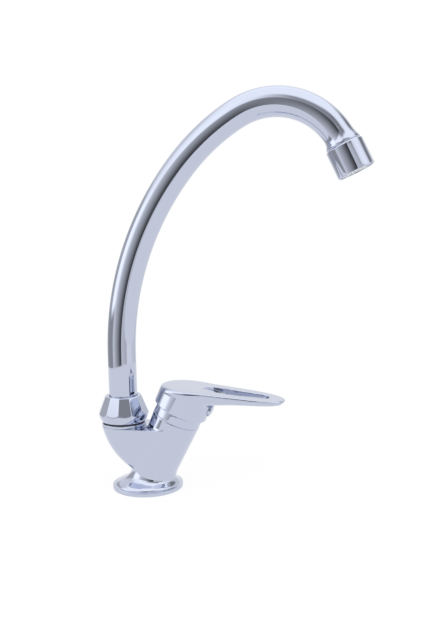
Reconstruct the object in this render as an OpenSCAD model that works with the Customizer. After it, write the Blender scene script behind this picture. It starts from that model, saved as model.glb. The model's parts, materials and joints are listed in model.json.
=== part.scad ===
// Gooseneck bar faucet with one lever: a deck body with a swivelling spout behind and a tilted
// mixing cartridge in front. Millimetres, +Z up, +X towards the lever and the outlet.
// The origin is the centre of the flange's underside, on the deck.

/* [Deck flange] */
// Diameter of the flange that rests on the deck
flange_d = 55; // [53:0.5:60]
// Height of the flange's straight edge
flange_edge_h = 3; // [2:0.5:4]
// Height of the flange's rounded shoulder
flange_h = 8.8; // [7.6:0.2:10]
// Diameter at which the shoulder becomes flat
flange_flat_d = 40; // [38:0.5:42]
// Outer diameter of the gasket groove in the underside
gasket_d = 51; // [49:0.5:51.5]
// Width of the gasket
gasket_w = 3.2; // [2.4:0.2:3.6]
// Depth of the gasket groove
gasket_t = 2.2; // [1.6:0.2:2.6]

/* [Control tower] */
// Tilt of the cartridge axis from vertical, towards the lever
tower_tilt = 25; // [22:0.5:27]
// Where the cartridge axis meets the deck plane, forward of the flange centre
tower_foot_x = -1; // [-2:0.25:1]
// Length of the tower along its axis
tower_l = 61.5; // [61:0.25:64]
// Diameter of the tower at the deck
tower_foot_d = 31.8; // [31:0.2:33]
// Diameter of the tower at its top
tower_top_d = 37.6; // [37.2:0.2:39]

/* [Spout boss] */
// Distance of the spout's swivel axis behind the flange centre
swivel_back = 18.3; // [17.5:0.1:19.5]
// Diameter of the boss's top
boss_d = 34.8; // [33.6:0.2:37]
// Height of the boss's top
boss_z = 49; // [47:0.5:51]
// Height of the boss's lowest section
boss_foot_z = 14; // [12:0.5:15]
// Diameter of that lowest section
boss_foot_d = 22; // [20:0.5:26]
// Rear of that lowest section, behind the flange centre
boss_foot_back = 10.6; // [9.6:0.2:12]
// Radius of the boss's bowed rear outline
boss_back_r = 50; // [42:1:70]
// Diameter of the threaded nipple on the boss
nipple_d = 28; // [27:0.2:29]
// Height of the nipple above the boss
nipple_h = 12; // [11:0.25:13]
// Bore of the socket that the spigot turns in
socket_d = 20; // [19:0.2:21]
// Depth of the socket below the nipple's rim
socket_depth = 25; // [23:0.5:26]

/* [Water ways and fixing] */
// Distance of the two inlet ports in front of the cartridge axis
inlet_r = 2.56; // [2.4:0.02:2.9]
// Distance of each inlet to the side
inlet_y = 6.5; // [6:0.25:6.75]
// Core diameter of the inlet thread, M10 x 1
inlet_thread_d = 9; // [8.5:0.1:9.2]
// Depth of the inlet thread
inlet_thread_depth = 9; // [7:0.5:9.5]
// Diameter of the two supply ways
supply_way_d = 5.6; // [4.6:0.2:6]
// Diameter of the mixed water way
mixed_way_d = 6; // [5:0.2:7]
// Distance of the fixing stud behind the flange centre
stud_back = 8; // [7:0.25:8.5]
// Core diameter of the stud's thread, M8
stud_thread_d = 6.8; // [6:0.1:7]
// Depth of the stud's thread
stud_thread_depth = 12; // [9:0.5:13]

/* [Spout] */
// Outer diameter of the spout tube
tube_d = 22; // [21:0.25:23]
// Wall of the spout tube
tube_wall = 1.2; // [1:0.1:1.6]
// Height at which the tube starts to bend
bend_start_z = 105; // [90:1:140]
// Radius of the first, long bend
bend_1_r = 221; // [200:1:240]
// Angle of the first bend
bend_1_a = 40.5; // [38:0.5:43]
// Radius of the second bend
bend_2_r = 154; // [130:1:170]
// Angle of the second bend
bend_2_a = 20; // [17:0.5:22]
// Radius of the tight bend at the top
bend_3_r = 54.5; // [50:0.5:60]
// Angle of the tight bend
bend_3_a = 94; // [88:0.5:97]

/* [Spout joint] */
// Height of the ring between the boss and the nut
swivel_ring_h = 3; // [2.6:0.1:3.6]
// Overall height of the spout nut
nut_h = 20.4; // [19.5:0.1:22]
// Widest diameter of the nut, across the facets' lower corners
nut_d = 39.2; // [38:0.2:40]
// Diameter of the nut's lower rim
nut_foot_d = 33.6; // [32.8:0.2:34]
// Diameter of the nut's upper rim
nut_top_d = 27.6; // [26:0.2:28.4]
// Height of the widest place above the nut's foot
nut_wide_h = 7.4; // [6:0.2:8]
// Number of facets around the nut
nut_facets = 12; // [8:1:16]
// Diameter of the spigot's collar, held under the nut
collar_d = 25.6; // [25:0.1:26]
// Thickness of the spigot's collar
collar_t = 2.75; // [2.25:0.25:3.25]
// Bore of the spigot
spigot_bore_d = 14; // [12:0.5:14.5]
// Length of the spigot inside the tube
spigot_neck_l = 11; // [8:0.5:14]
// Thickness of the lower glide ring
glide_lower_t = 0.8; // [0.6:0.1:1]
// Thickness of the upper glide ring
glide_upper_t = 1.5; // [1.2:0.1:1.8]
// Cord diameter of the spigot's two O-rings
spigot_cord_d = 1.44; // [1.2:0.04:1.6]
// Height of the lower O-ring above the spigot's foot
lower_o_ring_h = 4; // [3:0.25:5]
// Distance between the two O-rings
o_ring_pitch = 5.5; // [4:0.25:7]

/* [Outlet] */
// Outer diameter of the aerator shell
shell_d = 27.5; // [26.5:0.25:29]
// Length of the aerator shell
shell_l = 21.2; // [20:0.2:24]
// Core diameter of the shell's thread
shell_thread_d = 24; // [23.6:0.1:24.4]
// Length of the flared sleeve on the end of the tube
sleeve_l = 5; // [4:0.25:7]
// Diameter of the sleeve where it meets the shell
sleeve_d = 25.6; // [24.8:0.2:26.4]
// Length of the threaded neck inside the shell
neck_l = 8.4; // [7:0.2:9]
// Thickness of the sealing washer
washer_t = 1.4; // [1:0.1:2]
// Diameter of the opening in the shell's lower end
lip_bore_d = 21.6; // [20:0.2:22]
// Thickness of the shell's lower rim
rim_t = 1.3; // [1:0.1:1.6]
// Depth of the recess inside that rim
rim_recess_h = 1.2; // [0.8:0.1:1.6]
// Thickness of the aerator screen
screen_t = 0.6; // [0.4:0.1:0.8]
// Length of the flange that the aerator insert hangs by
insert_flange_t = 1.5; // [1.2:0.1:2]
// Wall of the aerator insert
insert_wall = 1.4; // [1.2:0.1:1.8]
// Distance between the ribs of the insert's grid
rib_pitch = 3; // [2.6:0.1:3.4]
// Width of those ribs
rib_w = 0.9; // [0.7:0.1:1.1]
// Diameter of the holes in the aerator screen
screen_hole_d = 2; // [1.4:0.1:2.2]

/* [Cartridge] */
// Diameter of the cartridge
cartridge_d = 28; // [27:0.2:28.4]
// Depth of the cartridge's seat below the tower's top
seat_depth = 31.5; // [30.5:0.25:32]
// Wall of the cartridge housing
housing_wall = 1.6; // [1.3:0.1:1.8]
// Thickness of the cartridge base's flange
base_t = 4; // [3.5:0.1:4.4]
// Height of the base's seat inside the housing
base_seat_t = 2; // [1.6:0.1:2.4]
// Diameter of the three ports
port_d = 5.6; // [4.8:0.2:5.8]
// Distance of the outlet port from the cartridge axis
outlet_port_r = 7; // [6.8:0.1:7.2]
// Thickness of the fixed ceramic disc
fixed_disc_t = 3.5; // [3:0.1:4]
// Thickness of the moving ceramic disc
moving_disc_t = 3; // [2.5:0.1:3.4]
// Diameter of the moving ceramic disc and its carrier
moving_disc_d = 18; // [17.4:0.1:18.2]
// Thickness of the carrier
carrier_t = 4.5; // [4:0.1:5]
// Thickness of the carrier's floor under the stem's ball
carrier_floor_t = 0.4; // [0.3:0.05:0.6]
// Thickness of the turret's disc
turret_disc_t = 3.75; // [3.25:0.25:4.25]
// Diameter of the turret's neck
turret_neck_d = 18; // [17:0.2:18.6]
// Length of the turret's neck
turret_neck_l = 10; // [8.5:0.25:11]
// Thickness of the housing's end wall
housing_end_t = 2.85; // [2.35:0.1:3.35]
// Width of the stem across the swing
stem_w = 7; // [6:0.25:7.5]
// Thickness of the stem along the swing
stem_t = 6; // [5:0.25:6.5]
// Length of the lever arm from the pivot pin to the stem's ball
stem_arm = 8; // [7.5:0.1:8.4]
// Diameter of the stem's ball
ball_d = 4.4; // [4:0.1:4.8]
// Diameter of the pivot pin
pin_d = 3; // [2.5:0.1:3.2]
// Lift of the lever from closed to fully open
lift_a = 22; // [18:1:24]
// Diameter of the cartridge nut's thread
cartridge_nut_d = 33.6; // [33:0.1:34.2]
// Length of the cartridge nut above its bearing shoulder
cartridge_nut_l = 12.5; // [11:0.25:13]

/* [Bonnet ring] */
// Diameter of the bonnet ring where it rests on the tower
bonnet_d = 37.6; // [36.8:0.2:38.4]
// Diameter that the bonnet ring narrows to
bonnet_top_d = 37; // [36:0.2:37.6]
// Height of the bonnet ring
bonnet_h = 8.8; // [8.2:0.2:9.6]
// Cord diameter of the bonnet's O-ring
bonnet_cord_d = 1.2; // [1:0.05:1.3]

/* [Handle] */
// Height of the skirt's lower edge above the tower's top, along the axis
skirt_gap_l = 7.8; // [7.2:0.1:8.6]
// Diameter of the skirt's lower edge
skirt_d = 42.4; // [41:0.2:43]
// Widening of the skirt's radius for each millimetre up
skirt_taper = 0.01; // [0:0.01:0.06]
// Height of the head's flat top above the tower's top, along the tilted axis
head_rise = 27.8; // [25.5:0.1:30.5]
// Downward slope of the flat top towards the tip
top_slope = 6.3; // [3:0.1:9]
// Length of the lever from the head's centre to its tip, along the flat top
lever_l = 73; // [66:0.5:82]
// Width of the lever just before its rounded tip
lever_tip_w = 31; // [28:0.5:33]
// Thickness of the lever's straight upper edge
lever_edge_t = 1.6; // [1.2:0.1:2.4]
// Depth of the lever where it leaves the head
lever_root_depth = 12.6; // [11:0.2:14]
// Depth of the lever near its tip
lever_tip_depth = 6.2; // [5:0.2:7]
// Distance from the head's centre to the slot's near end
slot_start = 20.5; // [19:0.25:22]
// Distance from the head's centre to the slot's far end
slot_end = 61; // [56:0.5:62]
// Width of the slot at its near end
slot_w = 16; // [13:0.5:17]
// Width of the slot at its far end
slot_tip_w = 13.4; // [11:0.2:14]
// Distance from the head's centre to the point of the slot's lead-in
lead_in_start = 6.7; // [5:0.25:9]
// Depth of the lead-in where it meets the slot
lead_in_depth = 2.6; // [1.6:0.1:3.4]
// Diameter of the index button
button_d = 10; // [8.5:0.25:10.5]
// Distance that the button stands out of the skirt
button_proud = 2; // [1.4:0.1:2.6]
// Height of the button's centre above the skirt's lower edge
button_rise = 9.9; // [9.5:0.1:11.1]
// Diameter of the set screw, M4
set_screw_d = 3.9; // [3.5:0.1:4.2]

/* [Clearances] */
// Radial clearance of the parts that turn in each other
running = 0.05; // [0.03:0.01:0.08]
// Clearance of the parts that are slipped together and stay
slip = 0.1; // [0.05:0.05:0.2]
// Gap between inner parts that pass each other
inner_gap = 0.3; // [0.25:0.05:0.4]
// Gap between visible parts that pass each other
pass_gap = 0.4; // [0.3:0.05:0.6]

/* [Hidden] */
$fn = 64;
// Overshoot of cutting shapes past the faces that they cut
over = 1;
// Facet count inside hulls
hull_fn = 40;

// Levels along the spout's swivel axis, as heights above the deck
nipple_top_z = boss_z + nipple_h;
nut_z = boss_z + swivel_ring_h;
collar_z = nipple_top_z + glide_lower_t + running;
tube_z = collar_z + collar_t;
glide_upper_z = tube_z + running;
nut_shoulder_z = glide_upper_z + glide_upper_t;
socket_z = nipple_top_z - socket_depth;
spigot_lift = 1;
spigot_z = socket_z + spigot_lift;
tube_bore_d = tube_d - 2 * tube_wall;

// Spigot and its O-ring grooves
plug_d = socket_d - 2 * running;
o_ring_bite = 0.03;
groove_room = 0.04;
groove_side_room = 0.25;
groove_depth = spigot_cord_d + groove_room;
groove_w = spigot_cord_d + 2 * groove_side_room;

// Levels along the tilted cartridge axis, as distances from the deck
seat_l = tower_l - seat_depth;
head_top_l = tower_l + head_rise;
base_top_l = seat_l + base_t;
fixed_disc_l = base_top_l + base_seat_t;
moving_disc_l = fixed_disc_l + fixed_disc_t + running;
carrier_l = moving_disc_l + moving_disc_t;
carrier_top_l = carrier_l + carrier_t;
turret_l = carrier_top_l + inner_gap;
turret_neck_start_l = turret_l + turret_disc_t;
housing_end_l = turret_neck_start_l + slip;
shoulder_l = housing_end_l + housing_end_t;
turret_top_l = turret_neck_start_l + turret_neck_l;
ball_gap = 0.15;
pin_slip = 0.04;
ball_l = carrier_l + carrier_floor_t + ball_gap + ball_d / 2;
pivot_l = ball_l + stem_arm;
stem_heel = 3.3;
stem_block_l = pivot_l - stem_heel;

// Cartridge housing and the nut that holds it down
housing_bore_d = cartridge_d - 2 * housing_wall;
housing_collar_t = 2.5;
housing_collar_l = shoulder_l + housing_collar_t;
housing_collar_step = 1.6;
housing_collar_d = cartridge_d - 2 * housing_collar_step;
cavity_d = cartridge_d + 2 * slip;
thread_bore_d = cartridge_nut_d + 2 * slip;
thread_run_out = 2;
nut_collar_drop = 0.5;
nut_collar_l = tower_l - nut_collar_drop;
nut_collar_d = 30;
nut_collar_wall = 1.3;
nut_end_l = shoulder_l + cartridge_nut_l;
bonnet_groove_l = (nut_collar_l + nut_end_l) / 2;

// Ports, seals and the chamber in the moving disc
port_seal_w = 1.5;
port_seal_t = 1.6;
disc_seal_inset = 0.5;
disc_seal_d = housing_bore_d - 2 * disc_seal_inset;
disc_seal_w = 1.3;
disc_seal_t = 1;
disc_land = 0.3;
chamber_tail_r = 2;
chamber_rim = 0.6;
chamber_t = 1.2;

// The bonnet ring fits inside a ball around the pivot, and the handle's hollow clears it
bonnet_slack = 0.4;
bonnet_ledge = 0.8;
bonnet_bore_d = nut_collar_d + 2 * bonnet_slack;
bonnet_hole_d = nut_collar_d - 2 * bonnet_ledge;
bonnet_top_l = tower_l + bonnet_h;
skirt_l = tower_l + skirt_gap_l;
button_l = skirt_l + button_rise;
bonnet_overlap = 0.8;
bonnet_ball_r = norm([bonnet_top_d / 2, skirt_l - bonnet_overlap - pivot_l]);
hollow_ball_r = bonnet_ball_r + pass_gap;
stem_top_l = button_l + set_screw_d / 2;
hub_d = 13;
hub_rise = 5;
hub_l = nut_end_l + hub_rise;
button_seat_depth = 4.2;
button_seat_r = skirt_d / 2 - button_seat_depth;

// Distances along the outlet, from the end of the tube
flange_s = 1.2;
shell_end_s = flange_s + shell_l;
neck_end_s = flange_s + neck_l;
screen_s = neck_end_s + washer_t;
insert_s = screen_s + screen_t;
shelf_s = insert_s + insert_flange_t;
insert_set_back = 0.6;
insert_end_s = shell_end_s - insert_set_back;
held_d = shell_thread_d - 2 * inner_gap;
insert_d = lip_bore_d - 2 * inner_gap;
sleeve_sag = bend_3_r - sqrt(bend_3_r ^ 2 - sleeve_l ^ 2);
sleeve_bore_d = tube_d + 2 * (sleeve_sag + slip);

// Radius of the flange's shoulder, so that it meets the straight edge
shoulder_run = (flange_d - flange_flat_d) / 2;
shoulder_rise = flange_h - flange_edge_h;
shoulder_r = (shoulder_run ^ 2 + shoulder_rise ^ 2) / (2 * shoulder_rise);

// Frames
module on_tower() {
    translate([tower_foot_x, 0, 0]) rotate([0, tower_tilt, 0]) children();
}

module on_swivel(z = 0) {
    translate([-swivel_back, 0, z]) children();
}

module after_bend(r, a) {
    translate([r * (1 - cos(a)), 0, r * sin(a)]) rotate([0, a, 0]) children();
}

module at_outlet() {
    on_swivel(bend_start_z)
        after_bend(bend_1_r, bend_1_a)
            after_bend(bend_2_r, bend_2_a)
                after_bend(bend_3_r, bend_3_a)
                    children();
}

module on_handle_top() {
    translate([tower_foot_x + head_top_l * sin(tower_tilt), 0, head_top_l * cos(tower_tilt)])
        rotate([0, top_slope, 0]) children();
}

// Shared shapes
module ring(outer_d, inner_d, h) {
    difference() {
        cylinder(h = h, d = outer_d);
        translate([0, 0, -over]) cylinder(h = h + 2 * over, d = inner_d);
    }
}

module o_ring(centre_r, cord_d) {
    rotate_extrude() translate([centre_r, 0]) circle(d = cord_d);
}

module way(from, to, d) {
    run = to - from;
    translate([from[0], 0, from[1]])
        rotate([0, atan2(run[0], run[1]), 0])
            cylinder(h = norm(run), d = d);
}

// The inlets' vertical ways rise straight to their ports in the tilted seat
inlet_x = tower_foot_x + seat_l * sin(tower_tilt) + inlet_r * cos(tower_tilt);

module at_ports() {
    for (side = [-1, 1]) translate([inlet_r, side * inlet_y, 0]) children();
    translate([-outlet_port_r, 0, 0]) children();
}

// Body casting
module flange_form() {
    rotate_extrude() {
        square([flange_flat_d / 2, flange_h]);
        square([flange_d / 2, flange_edge_h]);
        intersection() {
            translate([flange_flat_d / 2, flange_h - shoulder_r]) circle(r = shoulder_r);
            square([flange_d / 2, flange_h]);
        }
    }
}

module tower_form() {
    reach = flange_d;
    intersection() {
        on_tower() translate([0, 0, -tower_foot_d / 2])
            cylinder(
                h = tower_l + tower_foot_d / 2,
                d1 = tower_foot_d - (tower_top_d - tower_foot_d) * tower_foot_d / 2 / tower_l,
                d2 = tower_top_d
            );
        translate([-reach, -reach, 0]) cube([3 * reach, 2 * reach, 3 * reach]);
    }
}

// The boss's rear outline is an arc from its top down to its lowest section
boss_top = [-swivel_back - boss_d / 2, boss_z];
boss_foot = [-boss_foot_back, boss_foot_z];
boss_chord = boss_foot - boss_top;
boss_half_a = asin(norm(boss_chord) / 2 / boss_back_r);
boss_side_a = atan2(boss_chord[0], -boss_chord[1]);
boss_arc_centre = (boss_top + boss_foot) / 2
    + boss_back_r * cos(boss_half_a) * [cos(boss_side_a), sin(boss_side_a)];
function boss_rear(a) =
    boss_arc_centre - boss_back_r * [cos(boss_side_a + a), sin(boss_side_a + a)];

// The boss narrows downwards and runs on forward into the tower, with flat sides
module boss_form() {
    section_t = 0.4;
    tower_x = tower_foot_x + boss_z * tan(tower_tilt);
    narrowing = (boss_d - boss_foot_d) / (boss_z - boss_foot_z);
    hull() {
        for (share = [-1:0.25:1]) {
            rear = boss_rear(share * boss_half_a);
            section_d = boss_foot_d + narrowing * (rear[1] - boss_foot_z);
            translate([rear[0] + section_d / 2, 0, rear[1] - section_t])
                cylinder(h = section_t, d = section_d, $fn = hull_fn);
        }
        translate([tower_x, 0, boss_z - section_t])
            cylinder(h = section_t, d = boss_d, $fn = hull_fn);
    }
}

module cartridge_hollow() {
    on_tower() {
        translate([0, 0, seat_l]) cylinder(h = tower_l, d = cavity_d);
        translate([0, 0, shoulder_l - thread_run_out]) cylinder(h = tower_l, d = thread_bore_d);
    }
}

module water_ways() {
    port_in_tower = [-outlet_port_r, seat_l + over];
    port = [
        tower_foot_x + port_in_tower[0] * cos(tower_tilt) + port_in_tower[1] * sin(tower_tilt),
        port_in_tower[1] * cos(tower_tilt) - port_in_tower[0] * sin(tower_tilt)
    ];
    bend = [port[0] - mixed_way_d / 2, port[1] - mixed_way_d];
    way(bend, port, mixed_way_d);
    way([-swivel_back, socket_z + mixed_way_d / 4], bend, mixed_way_d);
    translate([bend[0], 0, bend[1]]) sphere(d = mixed_way_d + over);
    for (side = [-1, 1]) translate([inlet_x, side * inlet_y, 0]) {
        translate([0, 0, -over]) cylinder(h = inlet_thread_depth + over, d = inlet_thread_d);
        cylinder(h = seat_l, d = supply_way_d);
    }
}

module body() {
    color([0.53, 0.57, 0.69]) difference() {
        union() {
            flange_form();
            tower_form();
            boss_form();
            on_swivel() translate([0, 0, boss_z - over]) cylinder(h = nipple_h + over, d = nipple_d);
        }
        cartridge_hollow();
        on_swivel(socket_z) cylinder(h = socket_depth + over, d = socket_d);
        water_ways();
        translate([-stud_back, 0, -over]) cylinder(h = stud_thread_depth + over, d = stud_thread_d);
        translate([0, 0, -over]) ring(gasket_d, gasket_d - 2 * gasket_w, gasket_t + over);
    }
}

module base_gasket() {
    color([0.1, 0.1, 0.11])
        ring(gasket_d - 2 * slip, gasket_d - 2 * gasket_w + 2 * slip, gasket_t);
}

// Spout joint
module swivel_ring() {
    step_h = 0.7;
    step_in = 1.2;
    step_d = nut_foot_d - 2 * step_in;
    color([0.55, 0.59, 0.71]) on_swivel(boss_z) {
        ring(boss_d - 2 * slip, nipple_d + 2 * slip, swivel_ring_h - step_h);
        ring(step_d, nipple_d + 2 * slip, swivel_ring_h);
    }
}

// One facet's plane touches the upper rim and leaves the widest place at its corners
module nut_facet_cut() {
    flat_share = cos(180 / nut_facets);
    wide_flat_r = nut_d / 2 * flat_share;
    top_r = nut_top_d / 2;
    rise = nut_h - nut_wide_h;
    lean = atan2(wide_flat_r - top_r, rise);
    translate([wide_flat_r, 0, nut_wide_h]) rotate([0, -lean, 0])
        translate([0, -nut_d / 2, -nut_h]) cube([nut_d, nut_d, 3 * nut_h]);
}

module spout_nut() {
    corner_room = 1.4;
    thread_room = 0.5;
    color([0.53, 0.57, 0.69]) on_swivel(nut_z) difference() {
        union() {
            cylinder(h = nut_wide_h, d1 = nut_foot_d, d2 = nut_d);
            translate([0, 0, nut_wide_h])
                cylinder(h = nut_h - nut_wide_h, d1 = nut_d, d2 = nut_top_d + corner_room);
        }
        for (facet = [0:nut_facets - 1])
            rotate([0, 0, (facet + 0.5) * 360 / nut_facets]) nut_facet_cut();
        translate([0, 0, -over])
            cylinder(h = nipple_top_z - nut_z + thread_room + over, d = nipple_d + 2 * slip);
        cylinder(h = nut_shoulder_z - nut_z, d = collar_d + 2 * pass_gap);
        cylinder(h = nut_h + over, d = tube_d + 2 * inner_gap);
    }
}

module glide_ring_lower() {
    color([0.92, 0.92, 0.9]) on_swivel(nipple_top_z)
        ring(collar_d, socket_d + 2 * slip, glide_lower_t);
}

module glide_ring_upper() {
    color([0.92, 0.92, 0.9]) on_swivel(glide_upper_z)
        ring(collar_d, tube_d + 2 * inner_gap, glide_upper_t);
}

module spout_spigot() {
    groove_floor_d = plug_d - 2 * groove_depth;
    color([0.78, 0.66, 0.36]) on_swivel() difference() {
        union() {
            translate([0, 0, spigot_z]) cylinder(h = collar_z - spigot_z, d = plug_d);
            translate([0, 0, collar_z]) cylinder(h = collar_t, d = collar_d);
            translate([0, 0, tube_z]) cylinder(h = spigot_neck_l, d = tube_bore_d - slip);
        }
        for (step = [0, 1])
            translate([0, 0, spigot_z + lower_o_ring_h + step * o_ring_pitch - groove_w / 2])
                ring(plug_d + over, groove_floor_d, groove_w);
        translate([0, 0, spigot_z - over])
            cylinder(h = tube_z + spigot_neck_l - spigot_z + 2 * over, d = spigot_bore_d);
    }
}

module spigot_o_ring(step) {
    centre_r = (plug_d - spigot_cord_d) / 2 - o_ring_bite;
    color([0.12, 0.12, 0.12])
        on_swivel(spigot_z + lower_o_ring_h + step * o_ring_pitch) o_ring(centre_r, spigot_cord_d);
}

module spout_o_ring_lower() {
    spigot_o_ring(0);
}

module spout_o_ring_upper() {
    spigot_o_ring(1);
}

// Spout tube: a straight stem and three bends. The stem and the second bend lap a little way
// over their neighbours, which are thinner by a small step, so that no two surfaces coincide.
section_lap = 1;
section_step = 0.16;

module rod_bend(r, a, d, lap_before, lap_after) {
    turn_before = lap_before / r * 180 / PI;
    turn_after = lap_after / r * 180 / PI;
    translate([r, 0, 0]) rotate([90, 0, 180]) rotate([0, 0, -turn_before])
        rotate_extrude(angle = turn_before + a + turn_after) translate([r, 0]) circle(d = d);
}

module spout_rod(d, end_lap = 0) {
    on_swivel(tube_z - end_lap)
        cylinder(h = bend_start_z - tube_z + end_lap + section_lap, d = d);
    on_swivel(bend_start_z) {
        rod_bend(bend_1_r, bend_1_a, d - section_step, 0, 0);
        after_bend(bend_1_r, bend_1_a) {
            rod_bend(bend_2_r, bend_2_a, d, section_lap, section_lap);
            after_bend(bend_2_r, bend_2_a)
                rod_bend(bend_3_r, bend_3_a, d - section_step, 0, end_lap);
        }
    }
}

module spout_tube() {
    color([0.55, 0.59, 0.71]) difference() {
        spout_rod(tube_d);
        spout_rod(tube_bore_d, over);
    }
}

// Outlet
module outlet_sleeve() {
    edge_t = 0.9;
    color([0.53, 0.57, 0.69]) at_outlet() difference() {
        union() {
            translate([0, 0, -sleeve_l]) cylinder(h = sleeve_l, d1 = tube_d + 2 * edge_t, d2 = sleeve_d);
            cylinder(h = flange_s, d = sleeve_d);
            cylinder(h = neck_end_s, d = shell_thread_d - 2 * slip);
        }
        translate([0, 0, -sleeve_l - over]) cylinder(h = sleeve_l + over, d = sleeve_bore_d);
        cylinder(h = neck_end_s + over, d = tube_bore_d);
    }
}

module aerator_shell() {
    top_edge = 1;
    end_edge = 0.5;
    color([0.55, 0.59, 0.71]) at_outlet() difference() {
        translate([0, 0, flange_s]) union() {
            cylinder(h = top_edge, d1 = shell_d - 2 * top_edge, d2 = shell_d);
            translate([0, 0, top_edge]) cylinder(h = shell_l - top_edge - end_edge, d = shell_d);
            translate([0, 0, shell_l - end_edge])
                cylinder(h = end_edge, d1 = shell_d, d2 = shell_d - 2 * end_edge);
        }
        cylinder(h = shelf_s, d = shell_thread_d);
        cylinder(h = shell_end_s + over, d = lip_bore_d);
        translate([0, 0, shell_end_s - rim_recess_h])
            cylinder(h = rim_recess_h + over, d = shell_d - 2 * rim_t);
    }
}

module aerator_washer() {
    bore_lip = 0.5;
    color([0.14, 0.14, 0.14]) at_outlet() translate([0, 0, neck_end_s])
        ring(held_d, tube_bore_d - 2 * bore_lip, washer_t);
}

module aerator_insert() {
    grid_t = 1.6;
    bore_d = insert_d - 2 * insert_wall;
    rows = floor(bore_d / 2 / rib_pitch);
    color([0.9, 0.9, 0.88]) at_outlet() {
        translate([0, 0, insert_s]) ring(held_d, bore_d, insert_flange_t);
        translate([0, 0, insert_s]) ring(insert_d, bore_d, insert_end_s - insert_s);
        translate([0, 0, insert_end_s - grid_t]) intersection() {
            cylinder(h = grid_t, d = bore_d + insert_wall);
            for (row = [-rows:rows], quarter = [0, 90])
                rotate([0, 0, quarter])
                    translate([row * rib_pitch - rib_w / 2, -insert_d / 2, 0])
                        cube([rib_w, insert_d, grid_t]);
        }
    }
}

module aerator_screen() {
    plug_t = 0.6;
    // Radius of each ring of holes, and how many holes it has
    hole_rings = [[0, 1], [3.2, 6], [6.4, 12]];
    color([0.7, 0.7, 0.72]) at_outlet() difference() {
        union() {
            translate([0, 0, screen_s]) cylinder(h = screen_t, d = insert_d);
            translate([0, 0, insert_s]) cylinder(h = plug_t, d = insert_d - 2 * insert_wall - 2 * slip);
        }
        for (hole_ring = hole_rings, hole = [0:hole_ring[1] - 1])
            rotate([0, 0, hole * 360 / hole_ring[1]])
                translate([hole_ring[0], 0, screen_s - over])
                    cylinder(h = screen_t + plug_t + 2 * over, d = screen_hole_d);
    }
}

// Bonnet ring
module bonnet_ring() {
    ledge_l = nut_end_l + slip;
    color([0.53, 0.57, 0.69]) on_tower() difference() {
        intersection() {
            translate([0, 0, tower_l]) cylinder(h = bonnet_h, d1 = bonnet_d, d2 = bonnet_top_d);
            translate([0, 0, pivot_l]) sphere(r = bonnet_ball_r);
        }
        translate([0, 0, tower_l - over]) cylinder(h = ledge_l - tower_l + over, d = bonnet_bore_d);
        cylinder(h = bonnet_top_l + over, d = bonnet_hole_d);
    }
}

module bonnet_o_ring() {
    color([0.12, 0.12, 0.12]) on_tower() translate([0, 0, bonnet_groove_l])
        o_ring((bonnet_bore_d - bonnet_cord_d) / 2 - o_ring_bite, bonnet_cord_d);
}

// Cartridge
module cartridge_nut() {
    notch_w = 3;
    notch_h = 1.6;
    bearing_d = housing_collar_d + 4 * slip;
    seat_side_room = 0.3;
    seat_room = 0.1;
    o_ring_seat_w = bonnet_cord_d + 2 * seat_side_room;
    o_ring_seat_d = bonnet_bore_d - 2 * (bonnet_cord_d + seat_room);
    color([0.76, 0.63, 0.33]) on_tower() difference() {
        union() {
            translate([0, 0, shoulder_l])
                cylinder(h = nut_collar_l - shoulder_l, d = cartridge_nut_d);
            translate([0, 0, nut_collar_l])
                cylinder(h = nut_end_l - nut_collar_l, d = nut_collar_d);
        }
        translate([0, 0, shoulder_l - over]) cylinder(h = nut_end_l, d = bearing_d);
        translate([0, 0, tower_l])
            cylinder(h = nut_end_l, d = nut_collar_d - 2 * nut_collar_wall);
        translate([0, 0, bonnet_groove_l - o_ring_seat_w / 2])
            ring(nut_collar_d + over, o_ring_seat_d, o_ring_seat_w);
        for (turn = [0, 90]) rotate([0, 0, turn])
            translate([-nut_collar_d, -notch_w / 2, nut_end_l - notch_h])
                cube([2 * nut_collar_d, notch_w, notch_h + over]);
    }
}

module cartridge_housing() {
    color([0.86, 0.86, 0.84]) on_tower() difference() {
        union() {
            translate([0, 0, base_top_l]) cylinder(h = shoulder_l - base_top_l, d = cartridge_d);
            translate([0, 0, shoulder_l])
                cylinder(h = housing_collar_t, d = housing_collar_d);
        }
        translate([0, 0, base_top_l - over])
            cylinder(h = housing_end_l - base_top_l + over, d = housing_bore_d);
        cylinder(h = housing_collar_l + over, d = turret_neck_d + 2 * running);
    }
}

module cartridge_base() {
    seat_top = base_t + base_seat_t;
    color([0.9, 0.9, 0.88]) on_tower() translate([0, 0, seat_l]) difference() {
        union() {
            cylinder(h = base_t, d = cartridge_d);
            cylinder(h = seat_top, d = housing_bore_d - 2 * slip);
        }
        at_ports() translate([0, 0, -over]) {
            cylinder(h = seat_top + 2 * over, d = port_d);
            cylinder(h = port_seal_t + over, d = port_d + 2 * port_seal_w);
        }
        translate([0, 0, seat_top - disc_seal_t])
            ring(disc_seal_d, disc_seal_d - 2 * disc_seal_w, disc_seal_t + over);
    }
}

module base_seals() {
    color([0.14, 0.14, 0.14]) on_tower() translate([0, 0, seat_l]) at_ports()
        ring(port_d + 2 * port_seal_w - 2 * slip, port_d + 2 * slip, port_seal_t);
}

module disc_seal() {
    color([0.14, 0.14, 0.14]) on_tower() translate([0, 0, fixed_disc_l - disc_seal_t])
        ring(disc_seal_d - 2 * slip, disc_seal_d - 2 * (disc_seal_w - slip), disc_seal_t);
}

module fixed_disc() {
    color([0.95, 0.94, 0.9]) on_tower() translate([0, 0, fixed_disc_l]) difference() {
        cylinder(h = fixed_disc_t, d = housing_bore_d - 2 * slip);
        at_ports() translate([0, 0, -over]) cylinder(h = fixed_disc_t + 2 * over, d = port_d);
    }
}

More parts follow.
